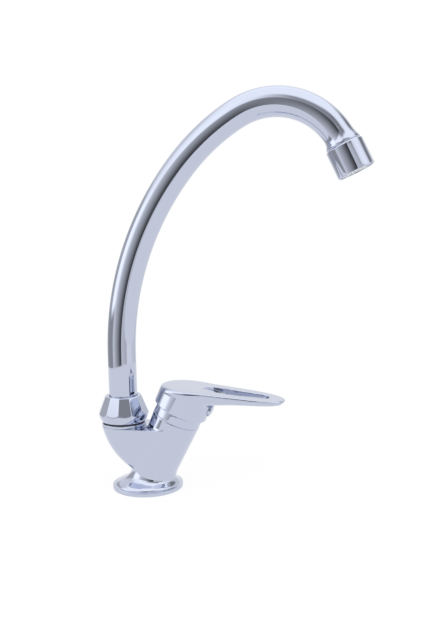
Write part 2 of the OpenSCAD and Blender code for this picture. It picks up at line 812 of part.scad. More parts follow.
// Its chamber stays inside the inlets while closed, and its tail always reaches the outlet
module moving_disc() {
    chamber_r = norm([inlet_r, inlet_y]) - port_d / 2 - disc_land;
    tail_x = moving_disc_d / 2 - chamber_rim - chamber_tail_r;
    color([0.93, 0.93, 0.93]) on_tower() translate([0, 0, moving_disc_l]) difference() {
        cylinder(h = moving_disc_t, d = moving_disc_d);
        translate([0, 0, -over]) linear_extrude(chamber_t + over) {
            circle(r = chamber_r);
            translate([-tail_x, 0]) circle(r = chamber_tail_r);
            translate([-tail_x, -chamber_tail_r]) square([tail_x, 2 * chamber_tail_r]);
        }
    }
}

module disc_carrier() {
    color([0.25, 0.3, 0.5]) on_tower() translate([0, 0, carrier_l]) difference() {
        cylinder(h = carrier_t, d = moving_disc_d);
        translate([0, 0, carrier_floor_t])
            cylinder(h = carrier_t, d = ball_d + 2 * inner_gap);
    }
}

module cartridge_turret() {
    heel_r = norm([stem_t / 2, stem_heel]);
    heel_floor_l = pivot_l - heel_r - inner_gap;
    back_room = stem_t / 2 / cos(lift_a) + (turret_top_l - pivot_l) * tan(lift_a) + pass_gap;
    front_room = heel_r + pass_gap;
    ball_room = ball_d / 2 + 2 * pass_gap;
    stem_room_w = stem_w + 2 * inner_gap;
    color([0.85, 0.85, 0.83]) on_tower() difference() {
        union() {
            translate([0, 0, turret_l]) cylinder(h = turret_disc_t, d = housing_bore_d - pass_gap);
            translate([0, 0, turret_l]) cylinder(h = turret_top_l - turret_l, d = turret_neck_d);
        }
        translate([-ball_room, -ball_room, turret_l - over])
            cube([
                2 * ball_room + stem_arm * sin(lift_a),
                2 * ball_room,
                heel_floor_l - turret_l + 2 * over
            ]);
        translate([-back_room, -stem_room_w / 2, heel_floor_l])
            cube([back_room + front_room, stem_room_w, turret_top_l]);
        translate([0, turret_neck_d, pivot_l]) rotate([90, 0, 0])
            cylinder(h = 2 * turret_neck_d, d = pin_d + pin_slip);
    }
}

module pivot_pin() {
    inset = 0.6;
    length = turret_neck_d - 2 * inset;
    color([0.7, 0.7, 0.72]) on_tower() translate([0, length / 2, pivot_l]) rotate([90, 0, 0])
        cylinder(h = length, d = pin_d);
}

module cartridge_stem() {
    neck_d = 3.2;
    color([0.76, 0.63, 0.33]) on_tower() difference() {
        union() {
            translate([0, 0, ball_l]) sphere(d = ball_d);
            translate([0, 0, ball_l]) cylinder(h = stem_block_l - ball_l + over, d = neck_d);
            translate([-stem_t / 2, -stem_w / 2, stem_block_l])
                cube([stem_t, stem_w, stem_top_l - stem_block_l]);
        }
        translate([0, stem_w, pivot_l]) rotate([90, 0, 0])
            cylinder(h = 2 * stem_w, d = pin_d + 2 * running);
    }
}

// Handle
module head_form() {
    length = 2 * (head_top_l - skirt_l);
    reach = 2 * skirt_d;
    intersection() {
        on_tower() translate([0, 0, skirt_l])
            cylinder(h = length, d1 = skirt_d, d2 = skirt_d + 2 * skirt_taper * length);
        on_handle_top() translate([-reach, -reach, -2 * reach]) cube([2 * reach, 2 * reach, 2 * reach]);
    }
}

// Outline of the lever from above: the head's circle, drawn in to a rounded tip
module lever_outline() {
    tip_r = 12.5;
    corner_r = 8;
    corner_back = 21.5;
    circle(d = skirt_d, $fn = hull_fn);
    translate([lever_l - tip_r, 0]) circle(r = tip_r, $fn = hull_fn);
    for (side = [-1, 1])
        translate([lever_l - corner_back, side * (lever_tip_w / 2 - corner_r)])
            circle(r = corner_r, $fn = hull_fn);
}

module belly_disc(x, depth, r) {
    disc_t = 0.4;
    translate([x, 0, -depth]) cylinder(h = disc_t, r = r, $fn = hull_fn);
}

// The lever's rounded belly runs through a wide and a narrow disc near the head and near the tip
module lever_form() {
    root_x = 8;
    root_wide_r = 17;
    root_deep_r = 9;
    side_share = 0.6;
    shoulder_back = 25;
    shoulder_r = 13;
    shoulder_more = 2;
    tip_back = 13;
    tip_wide_r = 11.4;
    tip_deep_r = 6.5;
    tip_x = lever_l - tip_back;
    on_handle_top() hull() {
        translate([0, 0, -lever_edge_t]) linear_extrude(lever_edge_t) lever_outline();
        belly_disc(root_x, side_share * lever_root_depth, root_wide_r);
        belly_disc(root_x, lever_root_depth, root_deep_r);
        belly_disc(lever_l - shoulder_back, side_share * (lever_tip_depth + shoulder_more), shoulder_r);
        belly_disc(tip_x, side_share * lever_tip_depth, tip_wide_r);
        belly_disc(tip_x, lever_tip_depth, tip_deep_r);
    }
}

module lever_slot() {
    near_x = slot_start + slot_w / 2;
    far_x = slot_end - slot_tip_w / 2;
    depth = 3 * lever_root_depth;
    on_handle_top() translate([0, 0, -depth]) linear_extrude(depth + over) {
        translate([near_x, 0]) circle(d = slot_w);
        translate([far_x, 0]) circle(d = slot_tip_w);
        polygon([
            [near_x, -slot_w / 2], [far_x, -slot_tip_w / 2],
            [far_x, slot_tip_w / 2], [near_x, slot_w / 2]
        ]);
    }
}

module slot_lead_in() {
    run = slot_start - lead_in_start;
    fall = atan2(lead_in_depth, run);
    half_w = slot_w / 2;
    corner_share = 0.7;
    corner_x = corner_share * run;
    end_x = run + half_w;
    on_handle_top() translate([lead_in_start, 0, 0]) rotate([0, fall, 0])
        linear_extrude(3 * lead_in_depth) polygon([
            [0, 0], [corner_x, -half_w], [end_x, -half_w], [end_x, half_w], [corner_x, half_w]
        ]);
}

module handle_hollow() {
    on_tower() {
        difference() {
            translate([0, 0, pivot_l]) sphere(r = hollow_ball_r);
            translate([0, 0, hub_l]) cylinder(h = hollow_ball_r, d = hub_d);
        }
    }
}

module handle() {
    color([0.55, 0.59, 0.71]) difference() {
        union() {
            head_form();
            lever_form();
        }
        handle_hollow();
        lever_slot();
        slot_lead_in();
        on_tower() {
            translate([-stem_t / 2 - running, -stem_w / 2 - running, skirt_l])
                cube([stem_t + 2 * running, stem_w + 2 * running, stem_top_l + slip - skirt_l]);
            translate([0, 0, button_l]) rotate([0, 90, 0]) {
                cylinder(h = button_seat_r + over, d = set_screw_d + 2 * slip);
                translate([0, 0, button_seat_r]) cylinder(h = skirt_d, d = button_d + 2 * slip);
            }
        }
    }
}

module handle_set_screw() {
    length = 9;
    key_depth = 2.5;
    key_af = 2;
    color([0.35, 0.35, 0.37]) on_tower() translate([stem_t / 2 + running, 0, button_l])
        rotate([0, 90, 0]) difference() {
            cylinder(h = length, d = set_screw_d);
            translate([0, 0, length - key_depth])
                cylinder(h = key_depth + over, d = key_af / cos(30), $fn = 6);
        }
}

module index_button() {
    face_r = skirt_d / 2 + (button_l - skirt_l) * skirt_taper + button_proud;
    dome_r = 14;
    color([0.53, 0.57, 0.69]) on_tower() translate([0, 0, button_l]) rotate([0, 90, 0])
        intersection() {
            translate([0, 0, button_seat_r]) cylinder(h = face_r - button_seat_r, d = button_d);
            translate([0, 0, face_r - dome_r]) sphere(r = dome_r);
        }
}

body();
base_gasket();
swivel_ring();
spout_nut();
glide_ring_lower();
glide_ring_upper();
spout_tube();
spout_spigot();
spout_o_ring_lower();
spout_o_ring_upper();
outlet_sleeve();
aerator_shell();
aerator_washer();
aerator_insert();
aerator_screen();
bonnet_ring();
bonnet_o_ring();
cartridge_nut();
cartridge_housing();
cartridge_base();
base_seals();
disc_seal();
fixed_disc();
moving_disc();
disc_carrier();
cartridge_turret();
pivot_pin();
cartridge_stem();
handle();
handle_set_screw();
index_button();
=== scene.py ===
"""Looks of a gooseneck bar faucet in polished chrome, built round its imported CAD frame.

Lengths are in millimetres and are turned into metres where a mesh is made. +X points to the
lever and the outlet, +Z up, and the origin is the centre of the flange's underside. A field is
negative inside its form and positive outside, and its zero surface becomes the mesh.
"""

import json
import math

import bpy
import numpy as np
from mathutils import Matrix, Vector


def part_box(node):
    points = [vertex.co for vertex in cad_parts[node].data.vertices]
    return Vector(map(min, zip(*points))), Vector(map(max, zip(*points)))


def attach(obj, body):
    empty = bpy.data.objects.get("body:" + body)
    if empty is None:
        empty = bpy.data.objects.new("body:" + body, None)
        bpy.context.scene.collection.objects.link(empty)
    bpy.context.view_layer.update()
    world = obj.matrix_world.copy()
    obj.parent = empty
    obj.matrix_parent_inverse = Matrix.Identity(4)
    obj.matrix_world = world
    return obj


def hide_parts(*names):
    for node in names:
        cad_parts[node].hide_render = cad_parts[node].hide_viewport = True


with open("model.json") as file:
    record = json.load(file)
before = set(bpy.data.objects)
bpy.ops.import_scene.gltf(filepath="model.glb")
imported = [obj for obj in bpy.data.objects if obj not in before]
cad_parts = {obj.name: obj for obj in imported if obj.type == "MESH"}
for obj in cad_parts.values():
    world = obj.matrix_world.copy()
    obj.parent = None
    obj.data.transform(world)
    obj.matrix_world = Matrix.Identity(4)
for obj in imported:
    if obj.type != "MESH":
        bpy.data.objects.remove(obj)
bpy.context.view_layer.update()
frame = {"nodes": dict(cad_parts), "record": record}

MM = 0.001


def box_mm(node):
    low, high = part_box(node)
    return np.array(low) / MM, np.array(high) / MM


# --- Sizes of the object, from the frame where the frame gives them ------------------------------

joints = {joint["name"]: joint for joint in frame["record"]["behaviour"]["joints"]}
BODY_LOW, BODY_HIGH = box_mm("body")
SWIVEL_X = joints["spout_swivel"]["pos_m"][0] / MM
TOWER_AXIS = np.array(joints["temperature_turn"]["axis"])
TOWER_FOOT_X = joints["temperature_turn"]["pos_m"][0] / MM
TOWER_TILT = math.atan2(TOWER_AXIS[0], TOWER_AXIS[2])
PIVOT_L = joints["lever_lift"]["pos_m"][2] / MM / math.cos(TOWER_TILT)

FLANGE_R = BODY_HIGH[1]
FLANGE_EDGE_H = 3.0
FLANGE_EDGE_ROUND = 0.8
FLANGE_TOP_Z = 6.6
FLANGE_FLAT_R = 15.5
FLANGE_STEP = 2.6
FLANGE_STEP_ROUND = 0.25
FLANGE_BLEND = 11.0
FOOT_ROUND = 0.5
GASKET_R = 25.5
GASKET_W = 3.2
GASKET_T = 2.2

TOWER_L = 61.5
TOWER_FOOT_R = 15.9
TOWER_TOP_R = 18.8
TOWER_EDGE_ROUND = 0.9
BOSS_R = 17.4
BOSS_FOOT_R = 11.0
BOSS_TOP = (SWIVEL_X - BOSS_R, 49.0)
BOSS_FOOT = (-9.8, 14.0)
BOSS_BACK_R = 50.0
BOSS_EDGE_ROUND = 1.2
BOSS_BLEND = 2.4
# The boss's sides lean, so the true distance to them is this share of the level one
BOSS_SLOPE = 0.88
NIPPLE_R = 14.0
NIPPLE_TOP_Z = 61.0
NIPPLE_HALF_H = 10
SOCKET_R = 10.0
SOCKET_Z = 36.0
CARTRIDGE_R = 14.1
CARTRIDGE_SEAT_L = 30.0
THREAD_R = 16.9
THREAD_L = 52.05
STUD = (-8.0, 0.0, 3.4, 12.0)
INLETS = [(14.0, side * 6.5, 4.5, 9.0) for side in (-1, 1)]
SUPPLY_R = 2.8
SUPPLY_END_L = CARTRIDGE_SEAT_L + 1
BORE_EDGE_ROUND = 0.3

NUT_Z, NUT_TOP_Z = box_mm("spout_nut")[0][2], box_mm("spout_nut")[1][2]
NUT_FACETS = 12
NUT_TURN = math.radians(8)
NUT_FOOT_R = 16.8
NUT_WIDE_R = 19.6
NUT_WIDE_Z = NUT_Z + 7.4
NUT_TOP_R = 13.8
NUT_TOP_T = 5

TUBE_R = 11.0
TUBE_WALL = 1.2
TUBE_BORE_R = TUBE_R - TUBE_WALL
TUBE_FOOT_Z = box_mm("spout_tube")[0][2]
BEND_START_Z = 105.0
# Radius and degrees of each bend, from the foot to the outlet
BENDS = [(221.0, 40.5), (154.0, 20.0), (54.5, 94.0)]
FLARE_R = 12.8
FLARE_RUN = 8.0
FLARE_POWER = 2.2
FLARE_CHAMFER = 0.25

SHELL_R = 13.75
SHELL_START = 1.2
SHELL_L = 21.2
SHELL_NECK_END = 9.6
SHELL_NECK_R = SHELL_R - 1.85

SKIRT_L = 69.3
SKIRT_R = 21.2
SKIRT_TAPER = 0.01
HEAD_TOP_L = 89.3
TOP_SLOPE = math.radians(6.3)
HOLLOW_R = 24.34
LEVER_L = 73.0
BUTTON_L = 79.2
BUTTON_R = 5.0

# --- Camera --------------------------------------------------------------------------------------

CAMERA_AZIMUTH = math.radians(14.386)
CAMERA_PITCH = math.radians(7.155)
CAMERA_ROLL = math.radians(-1.216)
CAMERA_PLACE = Vector((201.55, -577.15, 210.34)) * MM
FOCAL_PIXELS = 800.0
FRAME_LONG_SIDE = 631.0
SENSOR = 36.0


def make_camera():
    back = Vector((
        math.sin(CAMERA_AZIMUTH) * math.cos(CAMERA_PITCH),
        -math.cos(CAMERA_AZIMUTH) * math.cos(CAMERA_PITCH),
        math.sin(CAMERA_PITCH),
    ))
    level_right = Vector((math.cos(CAMERA_AZIMUTH), math.sin(CAMERA_AZIMUTH), 0.0))
    level_up = back.cross(level_right)
    right = level_right * math.cos(CAMERA_ROLL) + level_up * math.sin(CAMERA_ROLL)
    up = level_up * math.cos(CAMERA_ROLL) - level_right * math.sin(CAMERA_ROLL)
    data = bpy.data.cameras.new("camera")
    data.sensor_fit = "AUTO"
    data.sensor_width = SENSOR
    data.lens = FOCAL_PIXELS * SENSOR / FRAME_LONG_SIDE
    data.clip_start = 0.01
    data.clip_end = 20.0
    camera = bpy.data.objects.new("camera", data)
    bpy.context.scene.collection.objects.link(camera)
    camera.matrix_world = Matrix((
        (right.x, up.x, back.x, CAMERA_PLACE.x),
        (right.y, up.y, back.y, CAMERA_PLACE.y),
        (right.z, up.z, back.z, CAMERA_PLACE.z),
        (0.0, 0.0, 0.0, 1.0),
    ))
    bpy.context.scene.camera = camera


# --- Node helpers --------------------------------------------------------------------------------


class Graph:
    """A node tree that is written from left to right."""

    def __init__(self, tree):
        self.tree = tree
        tree.nodes.clear()

    def node(self, kind, inputs=None, **settings):
        made = self.tree.nodes.new(kind)
        for key, value in settings.items():
            setattr(made, key, value)
        for key, value in (inputs or {}).items():
            self.set(made.inputs[key], value)
        return made

    def set(self, socket, value):
        if isinstance(value, bpy.types.NodeSocket):
            self.tree.links.new(value, socket)
        else:
            socket.default_value = value

    def math(self, operation, *values):
        made = self.node("ShaderNodeMath", operation=operation)
        for socket, value in zip(made.inputs, values):
            self.set(socket, value)
        return made.outputs[0]

    def dot(self, vector, constant):
        made = self.node("ShaderNodeVectorMath", operation="DOT_PRODUCT")
        self.set(made.inputs[0], vector)
        self.set(made.inputs[1], constant)
        return made.outputs["Value"]

    def passage(self, value, place, soft, before, after):
        """before where value is below place and after above it, with a smooth change between."""
        made = self.node("ShaderNodeMapRange", {
            "Value": value, "From Min": place - soft, "From Max": place + soft,
            "To Min": before, "To Max": after,
        }, interpolation_type="SMOOTHSTEP")
        return made.outputs[0]

    def window(self, value, low, high, soft):
        """1 between low and high, falling softly to 0 outside."""
        rise = self.passage(value, low, soft, 0.0, 1.0)
        fall = self.passage(value, high, soft, 1.0, 0.0)
        return self.math("MULTIPLY", rise, fall)

    def blend(self, factor, a, b):
        """A plain number between a and b."""
        made = self.node("ShaderNodeMix", data_type="FLOAT")
        self.set(made.inputs["Factor"], factor)
        self.set(made.inputs["A"], a)
        self.set(made.inputs["B"], b)
        return made.outputs["Result"]

    def mix(self, factor, a, b):
        """A colour between the colours a and b."""
        made = self.node("ShaderNodeMix", data_type="RGBA")
        self.set(made.inputs["Factor"], factor)
        self.set(made.inputs["A"], (*a, 1.0))
        self.set(made.inputs["B"], (*b, 1.0))
        return made.outputs["Result"]

    def ramp(self, factor, stops):
        made = self.node("ShaderNodeValToRGB", {"Fac": factor})
        elements = made.color_ramp.elements
        while len(elements) > 1:
            elements.remove(elements[-1])
        elements[0].position, elements[0].color = stops[0][0], (*stops[0][1], 1.0)
        for place, colour in stops[1:]:
            elements.new(place).color = (*colour, 1.0)
        return made.outputs["Color"]


# --- Studio --------------------------------------------------------------------------------------

# Tones of the studio's walls by compass angle from the camera, to the right positive. 1 is white.
WALLS = [
    (-180, 1.0), (-158, 1.0), (-146, 0.58), (-122, 0.55), (-108, 0.66), (-98, 1.6), (-76, 1.6),
    (-62, 0.90), (-50, 0.68), (-30, 0.42), (-12, 0.14), (0, 0.05), (2, 0.82), (20, 0.76),
    (40, 0.66), (52, 1.06), (81, 1.06), (104, 0.90), (140, 0.85), (160, 1.0), (180, 1.0),
]
# Tones of its ceiling, by the same angle
CEILING = [
    (-180, 1.0), (-120, 0.9), (-100, 1.3), (-62, 1.5), (-34, 1.3), (-16, 0.45), (12, 0.36),
    (24, 0.30), (34, 1.2), (60, 1.4), (84, 1.2), (100, 0.30), (124, 0.30), (140, 1.0), (180, 1.0),
]
BRIGHTEST_TONE = 2.0
# Where each part of the studio starts, as the sine of its angle above the horizon
UNDER_HEIGHT, UNDER_SOFT = -0.03, 0.03
CEILING_HEIGHT, CEILING_SOFT = 0.38, 0.06
TOP_HEIGHT, TOP_SOFT = 0.72, 0.10
TOP_TONE = 1.4
# The grey stretch below the horizon, in turns from behind the object round by the camera's left
UNDER_START, UNDER_END, UNDER_END_SOFT = 0.15, 0.31, 0.02
UNDER_TONE = 0.42
# What lights the object, the same from every side
LIGHTING_TONE = 0.9

# The floor and the lamps are in metres
FLOOR_Z = -0.0002
FLOOR_R = 0.53
FLOOR_SIDES = 180
FLOOR_GREY = 0.95
FLOOR_WHITE_SHARE = 0.93

LAMP_AIM = (0.05, 0.0, 0.12)
# Name, place, size and power in watts
LAMPS = [
    ("key", (-0.9, -1.2, 1.1), (1.0, 1.2), 9.0),
    ("fill", (1.2, -0.8, 0.9), (1.0, 1.0), 6.0),
]


def by_angle(graph, angle, tones):
    """Tones on a ramp that runs once round the compass, where angle goes from 0 to 1."""
    stops = []
    for degrees, tone in tones:
        grey = tone / BRIGHTEST_TONE
        stops.append(((degrees + 180) / 360, (grey, grey, grey)))
    return graph.math("MULTIPLY", graph.ramp(angle, stops), BRIGHTEST_TONE)


def seen_rays(graph):
    """1 for the rays that look at something, 0 for the rays that gather light."""
    rays = graph.node("ShaderNodeLightPath").outputs
    looked = graph.math("MAXIMUM", rays["Is Camera Ray"], rays["Is Glossy Ray"])
    return graph.math("MAXIMUM", looked, rays["Is Transmission Ray"])


def make_world():
    """Camera, metal and glass all see the same studio, and an even tone lights the object."""
    world = bpy.data.worlds.new("studio")
    bpy.context.scene.world = world
    world.use_nodes = True
    graph = Graph(world.node_tree)
    direction = graph.node("ShaderNodeTexCoord").outputs["Generated"]
    sine, cosine = math.sin(CAMERA_AZIMUTH), math.cos(CAMERA_AZIMUTH)
    ahead = graph.dot(direction, (sine, -cosine, 0.0))
    aside = graph.dot(direction, (cosine, sine, 0.0))
    height = graph.dot(direction, (0.0, 0.0, 1.0))
    turn = graph.math("ARCTAN2", aside, ahead)
    angle = graph.math("MULTIPLY_ADD", turn, 1 / (2 * math.pi), 0.5)
    under = graph.passage(height, UNDER_HEIGHT, UNDER_SOFT, 1.0, 0.0)
    stretch = graph.window(angle, UNDER_START, UNDER_END, UNDER_END_SOFT)
    walls = by_angle(graph, angle, WALLS)
    walls = graph.blend(graph.math("MULTIPLY", under, stretch), walls, UNDER_TONE)
    overhead = graph.passage(height, CEILING_HEIGHT, CEILING_SOFT, 0.0, 1.0)
    studio = graph.blend(overhead, walls, by_angle(graph, angle, CEILING))
    top = graph.passage(height, TOP_HEIGHT, TOP_SOFT, 0.0, 1.0)
    studio = graph.blend(top, studio, TOP_TONE)
    tone = graph.blend(seen_rays(graph), LIGHTING_TONE, studio)
    background = graph.node("ShaderNodeBackground", {"Color": tone, "Strength": 1.0})
    out = graph.node("ShaderNodeOutputWorld")
    graph.set(out.inputs["Surface"], background.outputs[0])


def make_floor_material():
    """Pale paper that keeps the shadow, mostly white for the rays that look at it."""
    material = bpy.data.materials.new("floor")
    material.use_nodes = True
    graph = Graph(material.node_tree)
    grey = (FLOOR_GREY, FLOOR_GREY, FLOOR_GREY, 1.0)
    paper = graph.node("ShaderNodeBsdfDiffuse", {"Color": grey})
    glow = graph.node("ShaderNodeEmission", {"Color": (1.0, 1.0, 1.0, 1.0), "Strength": 1.0})
    share = graph.math("MULTIPLY", seen_rays(graph), FLOOR_WHITE_SHARE)
    seen = graph.node("ShaderNodeMixShader", {"Fac": share})
    graph.set(seen.inputs[1], paper.outputs[0])
    graph.set(seen.inputs[2], glow.outputs[0])
    out = graph.node("ShaderNodeOutputMaterial")
    graph.set(out.inputs["Surface"], seen.outputs[0])
    return material


def make_floor():
    mesh = bpy.data.meshes.new("floor")
    turns = [2 * math.pi * step / FLOOR_SIDES for step in range(FLOOR_SIDES)]
    corners = [(FLOOR_R * math.cos(turn), FLOOR_R * math.sin(turn), FLOOR_Z) for turn in turns]
    mesh.from_pydata(corners, [], [list(range(FLOOR_SIDES))])
    mesh.materials.append(make_floor_material())
    floor = bpy.data.objects.new("floor", mesh)
    bpy.context.scene.collection.objects.link(floor)


def make_lamp(name, place, size, power):
    """A soft lamp. Metal shows the studio's own bright parts in its place."""
    data = bpy.data.lights.new(name, "AREA")
    data.shape = "RECTANGLE"
    data.size, data.size_y = size
    data.energy = power
    lamp = bpy.data.objects.new(name, data)
    bpy.context.scene.collection.objects.link(lamp)
    lamp.location = place
    lamp.rotation_mode = "QUATERNION"
    lamp.rotation_quaternion = (Vector(LAMP_AIM) - Vector(place)).to_track_quat("-Z", "Y")
    lamp.visible_glossy = False


# --- Materials -----------------------------------------------------------------------------------

NOISE_DETAIL = 3.0
NOISE_LOW, NOISE_HIGH = 0.3, 0.7
BUMP_DEPTH = 0.0001
FINISHES = {}


def add_finish(name, colour, metallic, roughness, spread, scale, bump=0.0, tone=0.0):
    """A shader whose roughness, tone and surface vary a little with a fine noise."""
    material = bpy.data.materials.new(name)
    material.use_nodes = True
    graph = Graph(material.node_tree)
    place = graph.node("ShaderNodeTexCoord").outputs["Object"]
    noise = graph.node("ShaderNodeTexNoise", {
        "Vector": place, "Scale": scale, "Detail": NOISE_DETAIL,
    }).outputs["Fac"]
    shader = graph.node("ShaderNodeBsdfPrincipled", {"Metallic": metallic})
    vary = graph.node("ShaderNodeMapRange", {
        "Value": noise, "From Min": NOISE_LOW, "From Max": NOISE_HIGH,
        "To Min": roughness - spread, "To Max": roughness + spread,
    })
    graph.set(shader.inputs["Roughness"], vary.outputs[0])
    if tone:
        darker = tuple(channel * (1 - tone) for channel in colour)
        graph.set(shader.inputs["Base Color"], graph.mix(noise, darker, colour))
    else:
        graph.set(shader.inputs["Base Color"], (*colour, 1.0))
    if bump:
        grain = graph.node("ShaderNodeBump", {
            "Height": noise, "Strength": bump, "Distance": BUMP_DEPTH,
        })
        graph.set(shader.inputs["Normal"], grain.outputs[0])
    out = graph.node("ShaderNodeOutputMaterial")
    graph.set(out.inputs["Surface"], shader.outputs[0])
    FINISHES[name] = material


def add_metal(name, colour, roughness, **grain):
    add_finish(name, colour, 1.0, roughness, **grain)


def add_non_metal(name, colour, roughness, **grain):
    add_finish(name, colour, 0.0, roughness, **grain)


# Chrome's own dark grey, with the lavender tint of the studio's reflected light painted into its
# colour
add_metal("chrome", (0.53, 0.57, 0.69), 0.03, spread=0.01, scale=90.0, tone=0.02)
add_metal("brass", (0.75, 0.60, 0.30), 0.28, spread=0.08, scale=600.0, bump=0.2, tone=0.1)
add_metal("steel", (0.55, 0.56, 0.57), 0.30, spread=0.08, scale=900.0, bump=0.2, tone=0.1)
add_metal("dark_steel", (0.25, 0.25, 0.27), 0.42, spread=0.06, scale=900.0, bump=0.2)
add_non_metal("rubber", (0.03, 0.03, 0.03), 0.62, spread=0.08, scale=1500.0, bump=0.3, tone=0.2)
add_non_metal("white_plastic", (0.82, 0.82, 0.79), 0.42, spread=0.06, scale=800.0, bump=0.1)
add_non_metal("grid_plastic", (0.75, 0.75, 0.73), 0.38, spread=0.06, scale=800.0, bump=0.1)
add_non_metal("blue_plastic", (0.20, 0.24, 0.40), 0.40, spread=0.06, scale=800.0, bump=0.1)
add_non_metal("ceramic", (0.90, 0.88, 0.84), 0.22, spread=0.05, scale=1200.0, bump=0.05)

# Every other slot is chrome
FINISH_OF_SLOT = {
    "gasket_rubber": "rubber",
    "seal_rubber": "rubber",
    "glide_plastic": "white_plastic",
    "insert_plastic": "grid_plastic",
    "cartridge_plastic": "white_plastic",
    "carrier_plastic": "blue_plastic",
    "turret_plastic": "white_plastic",
    "spigot_brass": "brass",
    "nut_brass": "brass",
    "stem_brass": "brass",
    "screen_steel": "steel",
    "pin_steel": "steel",
    "screw_steel": "dark_steel",
    "disc_ceramic": "ceramic",
}
SLOT_OF_NODE = {part["node"]: part["material_slot"] for part in frame["record"]["subparts"]}


def dress_cad_nodes():
    for name, thing in frame["nodes"].items():
        finish = FINISHES[FINISH_OF_SLOT.get(SLOT_OF_NODE[name], "chrome")]
        if not thing.material_slots:
            thing.data.materials.append(finish)
        for place in thing.material_slots:
            place.material = finish


# --- Mesh helpers --------------------------------------------------------------------------------

RING_STEPS = 128
# The longest stretch between two points of a turned outline
OUTLINE_GAP = 2.0
# The most that a rounded corner takes of each side next to it
CORNER_SHARE = 0.45


def add_piece(name, points, faces, node, body, also=(), finish="chrome", normals=None, slot=None):
    """points in millimetres become a smooth mesh that stands for node and rides on body."""
    mesh = bpy.data.meshes.new(name)
    mesh.from_pydata([tuple(point * MM) for point in points], [], faces)
    mesh.validate()
    mesh.shade_smooth()
    if normals is not None:
        mesh.normals_split_custom_set_from_vertices([tuple(normal) for normal in normals])
    mesh.materials.append(FINISHES[finish])
    piece = bpy.data.objects.new(name, mesh)
    bpy.context.scene.collection.objects.link(piece)
    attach(piece, body)
    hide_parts(node, *also)


def rounded(outline, radius, steps=4):
    """The closed outline with each corner rounded by an arc-like curve of about that radius."""
    points = [np.array(point, float) for point in outline]
    made = []
    for before, corner, after in zip(points[-1:] + points[:-1], points, points[1:] + points[:1]):
        to_before, to_after = before - corner, after - corner
        length_before, length_after = np.linalg.norm(to_before), np.linalg.norm(to_after)
        reach = min(radius, CORNER_SHARE * length_before, CORNER_SHARE * length_after)
        start = corner + to_before / length_before * reach
        end = corner + to_after / length_after * reach
        for step in range(steps + 1):
            share = step / steps
            rest = 1 - share
            made.append(rest ** 2 * start + 2 * share * rest * corner + share ** 2 * end)
    return made


def subdivided(outline, length):
    """More points on the long stretches of a closed outline."""
    made = []
    for start, end in zip(outline, outline[1:] + outline[:1]):
        parts = max(1, math.ceil(np.linalg.norm(end - start) / length))
        made += [start + (end - start) * part / parts for part in range(parts)]
    return made


def turned(outline, place):
    """Points and faces of a closed outline of (radius, height), turned about place's Z axis."""
    count = len(outline)
    points = []
    for step in range(RING_STEPS):
        angle = 2 * math.pi * step / RING_STEPS
        for radius, height in outline:
            side = (radius * math.cos(angle), radius * math.sin(angle), height)
            points.append(np.array(place @ Vector(side)))
    faces = []
    for step in range(RING_STEPS):
        here, there = step * count, (step + 1) % RING_STEPS * count
        for index in range(count):
            follow = (index + 1) % count
            faces.append((here + index, there + index, there + follow, here + follow))
    return points, faces


def add_turned(name, outline, place, node, body, radius, **extra):
    points, faces = turned(subdivided(rounded(outline, radius), OUTLINE_GAP), place)
    add_piece(name, points, faces, node, body, **extra)


def closed_rings(rings, around):
    """Faces from each ring of points to the next, and from the last one to the first."""
    faces = []
    for ring in range(rings):
        row, next_row = ring * around, (ring + 1) % rings * around
        for step in range(around):
            follow = (step + 1) % around
            faces.append((row + step, row + follow, next_row + follow, next_row + step))
    return faces


def soft_min(a, b, width):
    overlap = np.maximum(width - np.abs(a - b), 0.0) / width
    return np.minimum(a, b) - overlap ** 3 * width / 6


def soft_max(a, b, width):
    return -soft_min(-a, -b, width)


# --- The zero surface of a field -----------------------------------------------------------------

SLOPE_REACH = 0.02
SETTLING_ROUNDS = 5
SETTLING_STEP = 0.4


def grid_axes(low, high, cell, fine):
    """Grid places along each axis. fine is an (axis, up to, cell) triple for smaller cells."""
    axes = []
    for axis in range(3):
        start, end = low[axis], high[axis] + cell
        if fine and fine[0] == axis:
            fine_end, fine_cell = fine[1:]
            fine_part = np.arange(start, fine_end, fine_cell)
            axes.append(np.concatenate([fine_part, np.arange(fine_end, end, cell)]))
        else:
            axes.append(np.arange(start, end, cell))
    return axes


def grid_values(field, axes):
    """The field at each corner of the grid."""
    y, z = np.meshgrid(axes[1], axes[2], indexing="ij")
    return np.array([field(np.full_like(y, x), y, z) for x in axes[0]])


def edge_ends(axis, others):
    """What picks the lower and the upper ends of the grid's edges along an axis."""
    lower, upper = [others] * 3, [others] * 3
    lower[axis], upper[axis] = slice(0, -1), slice(1, None)
    return tuple(lower), tuple(upper)


def other_axes(axis):
    return [other for other in range(3) if other != axis]


def edge_crossings(value, axes, axis):
    """Which edges along an axis cross the surface, and the place of each crossing."""
    lower, upper = edge_ends(axis, slice(None))
    start, end = value[lower], value[upper]
    crossing = (start < 0) != (end < 0)
    share = np.where(crossing, start / np.where(crossing, start - end, 1.0), 0.0)
    starts = [axes[other][:-1] if other == axis else axes[other] for other in range(3)]
    place = np.stack(np.meshgrid(*starts, indexing="ij"), -1)
    step = np.diff(axes[axis])
    step_shape = [1, 1, 1]
    step_shape[axis] = len(step)
    place[..., axis] += share * step.reshape(step_shape)
    return crossing, place


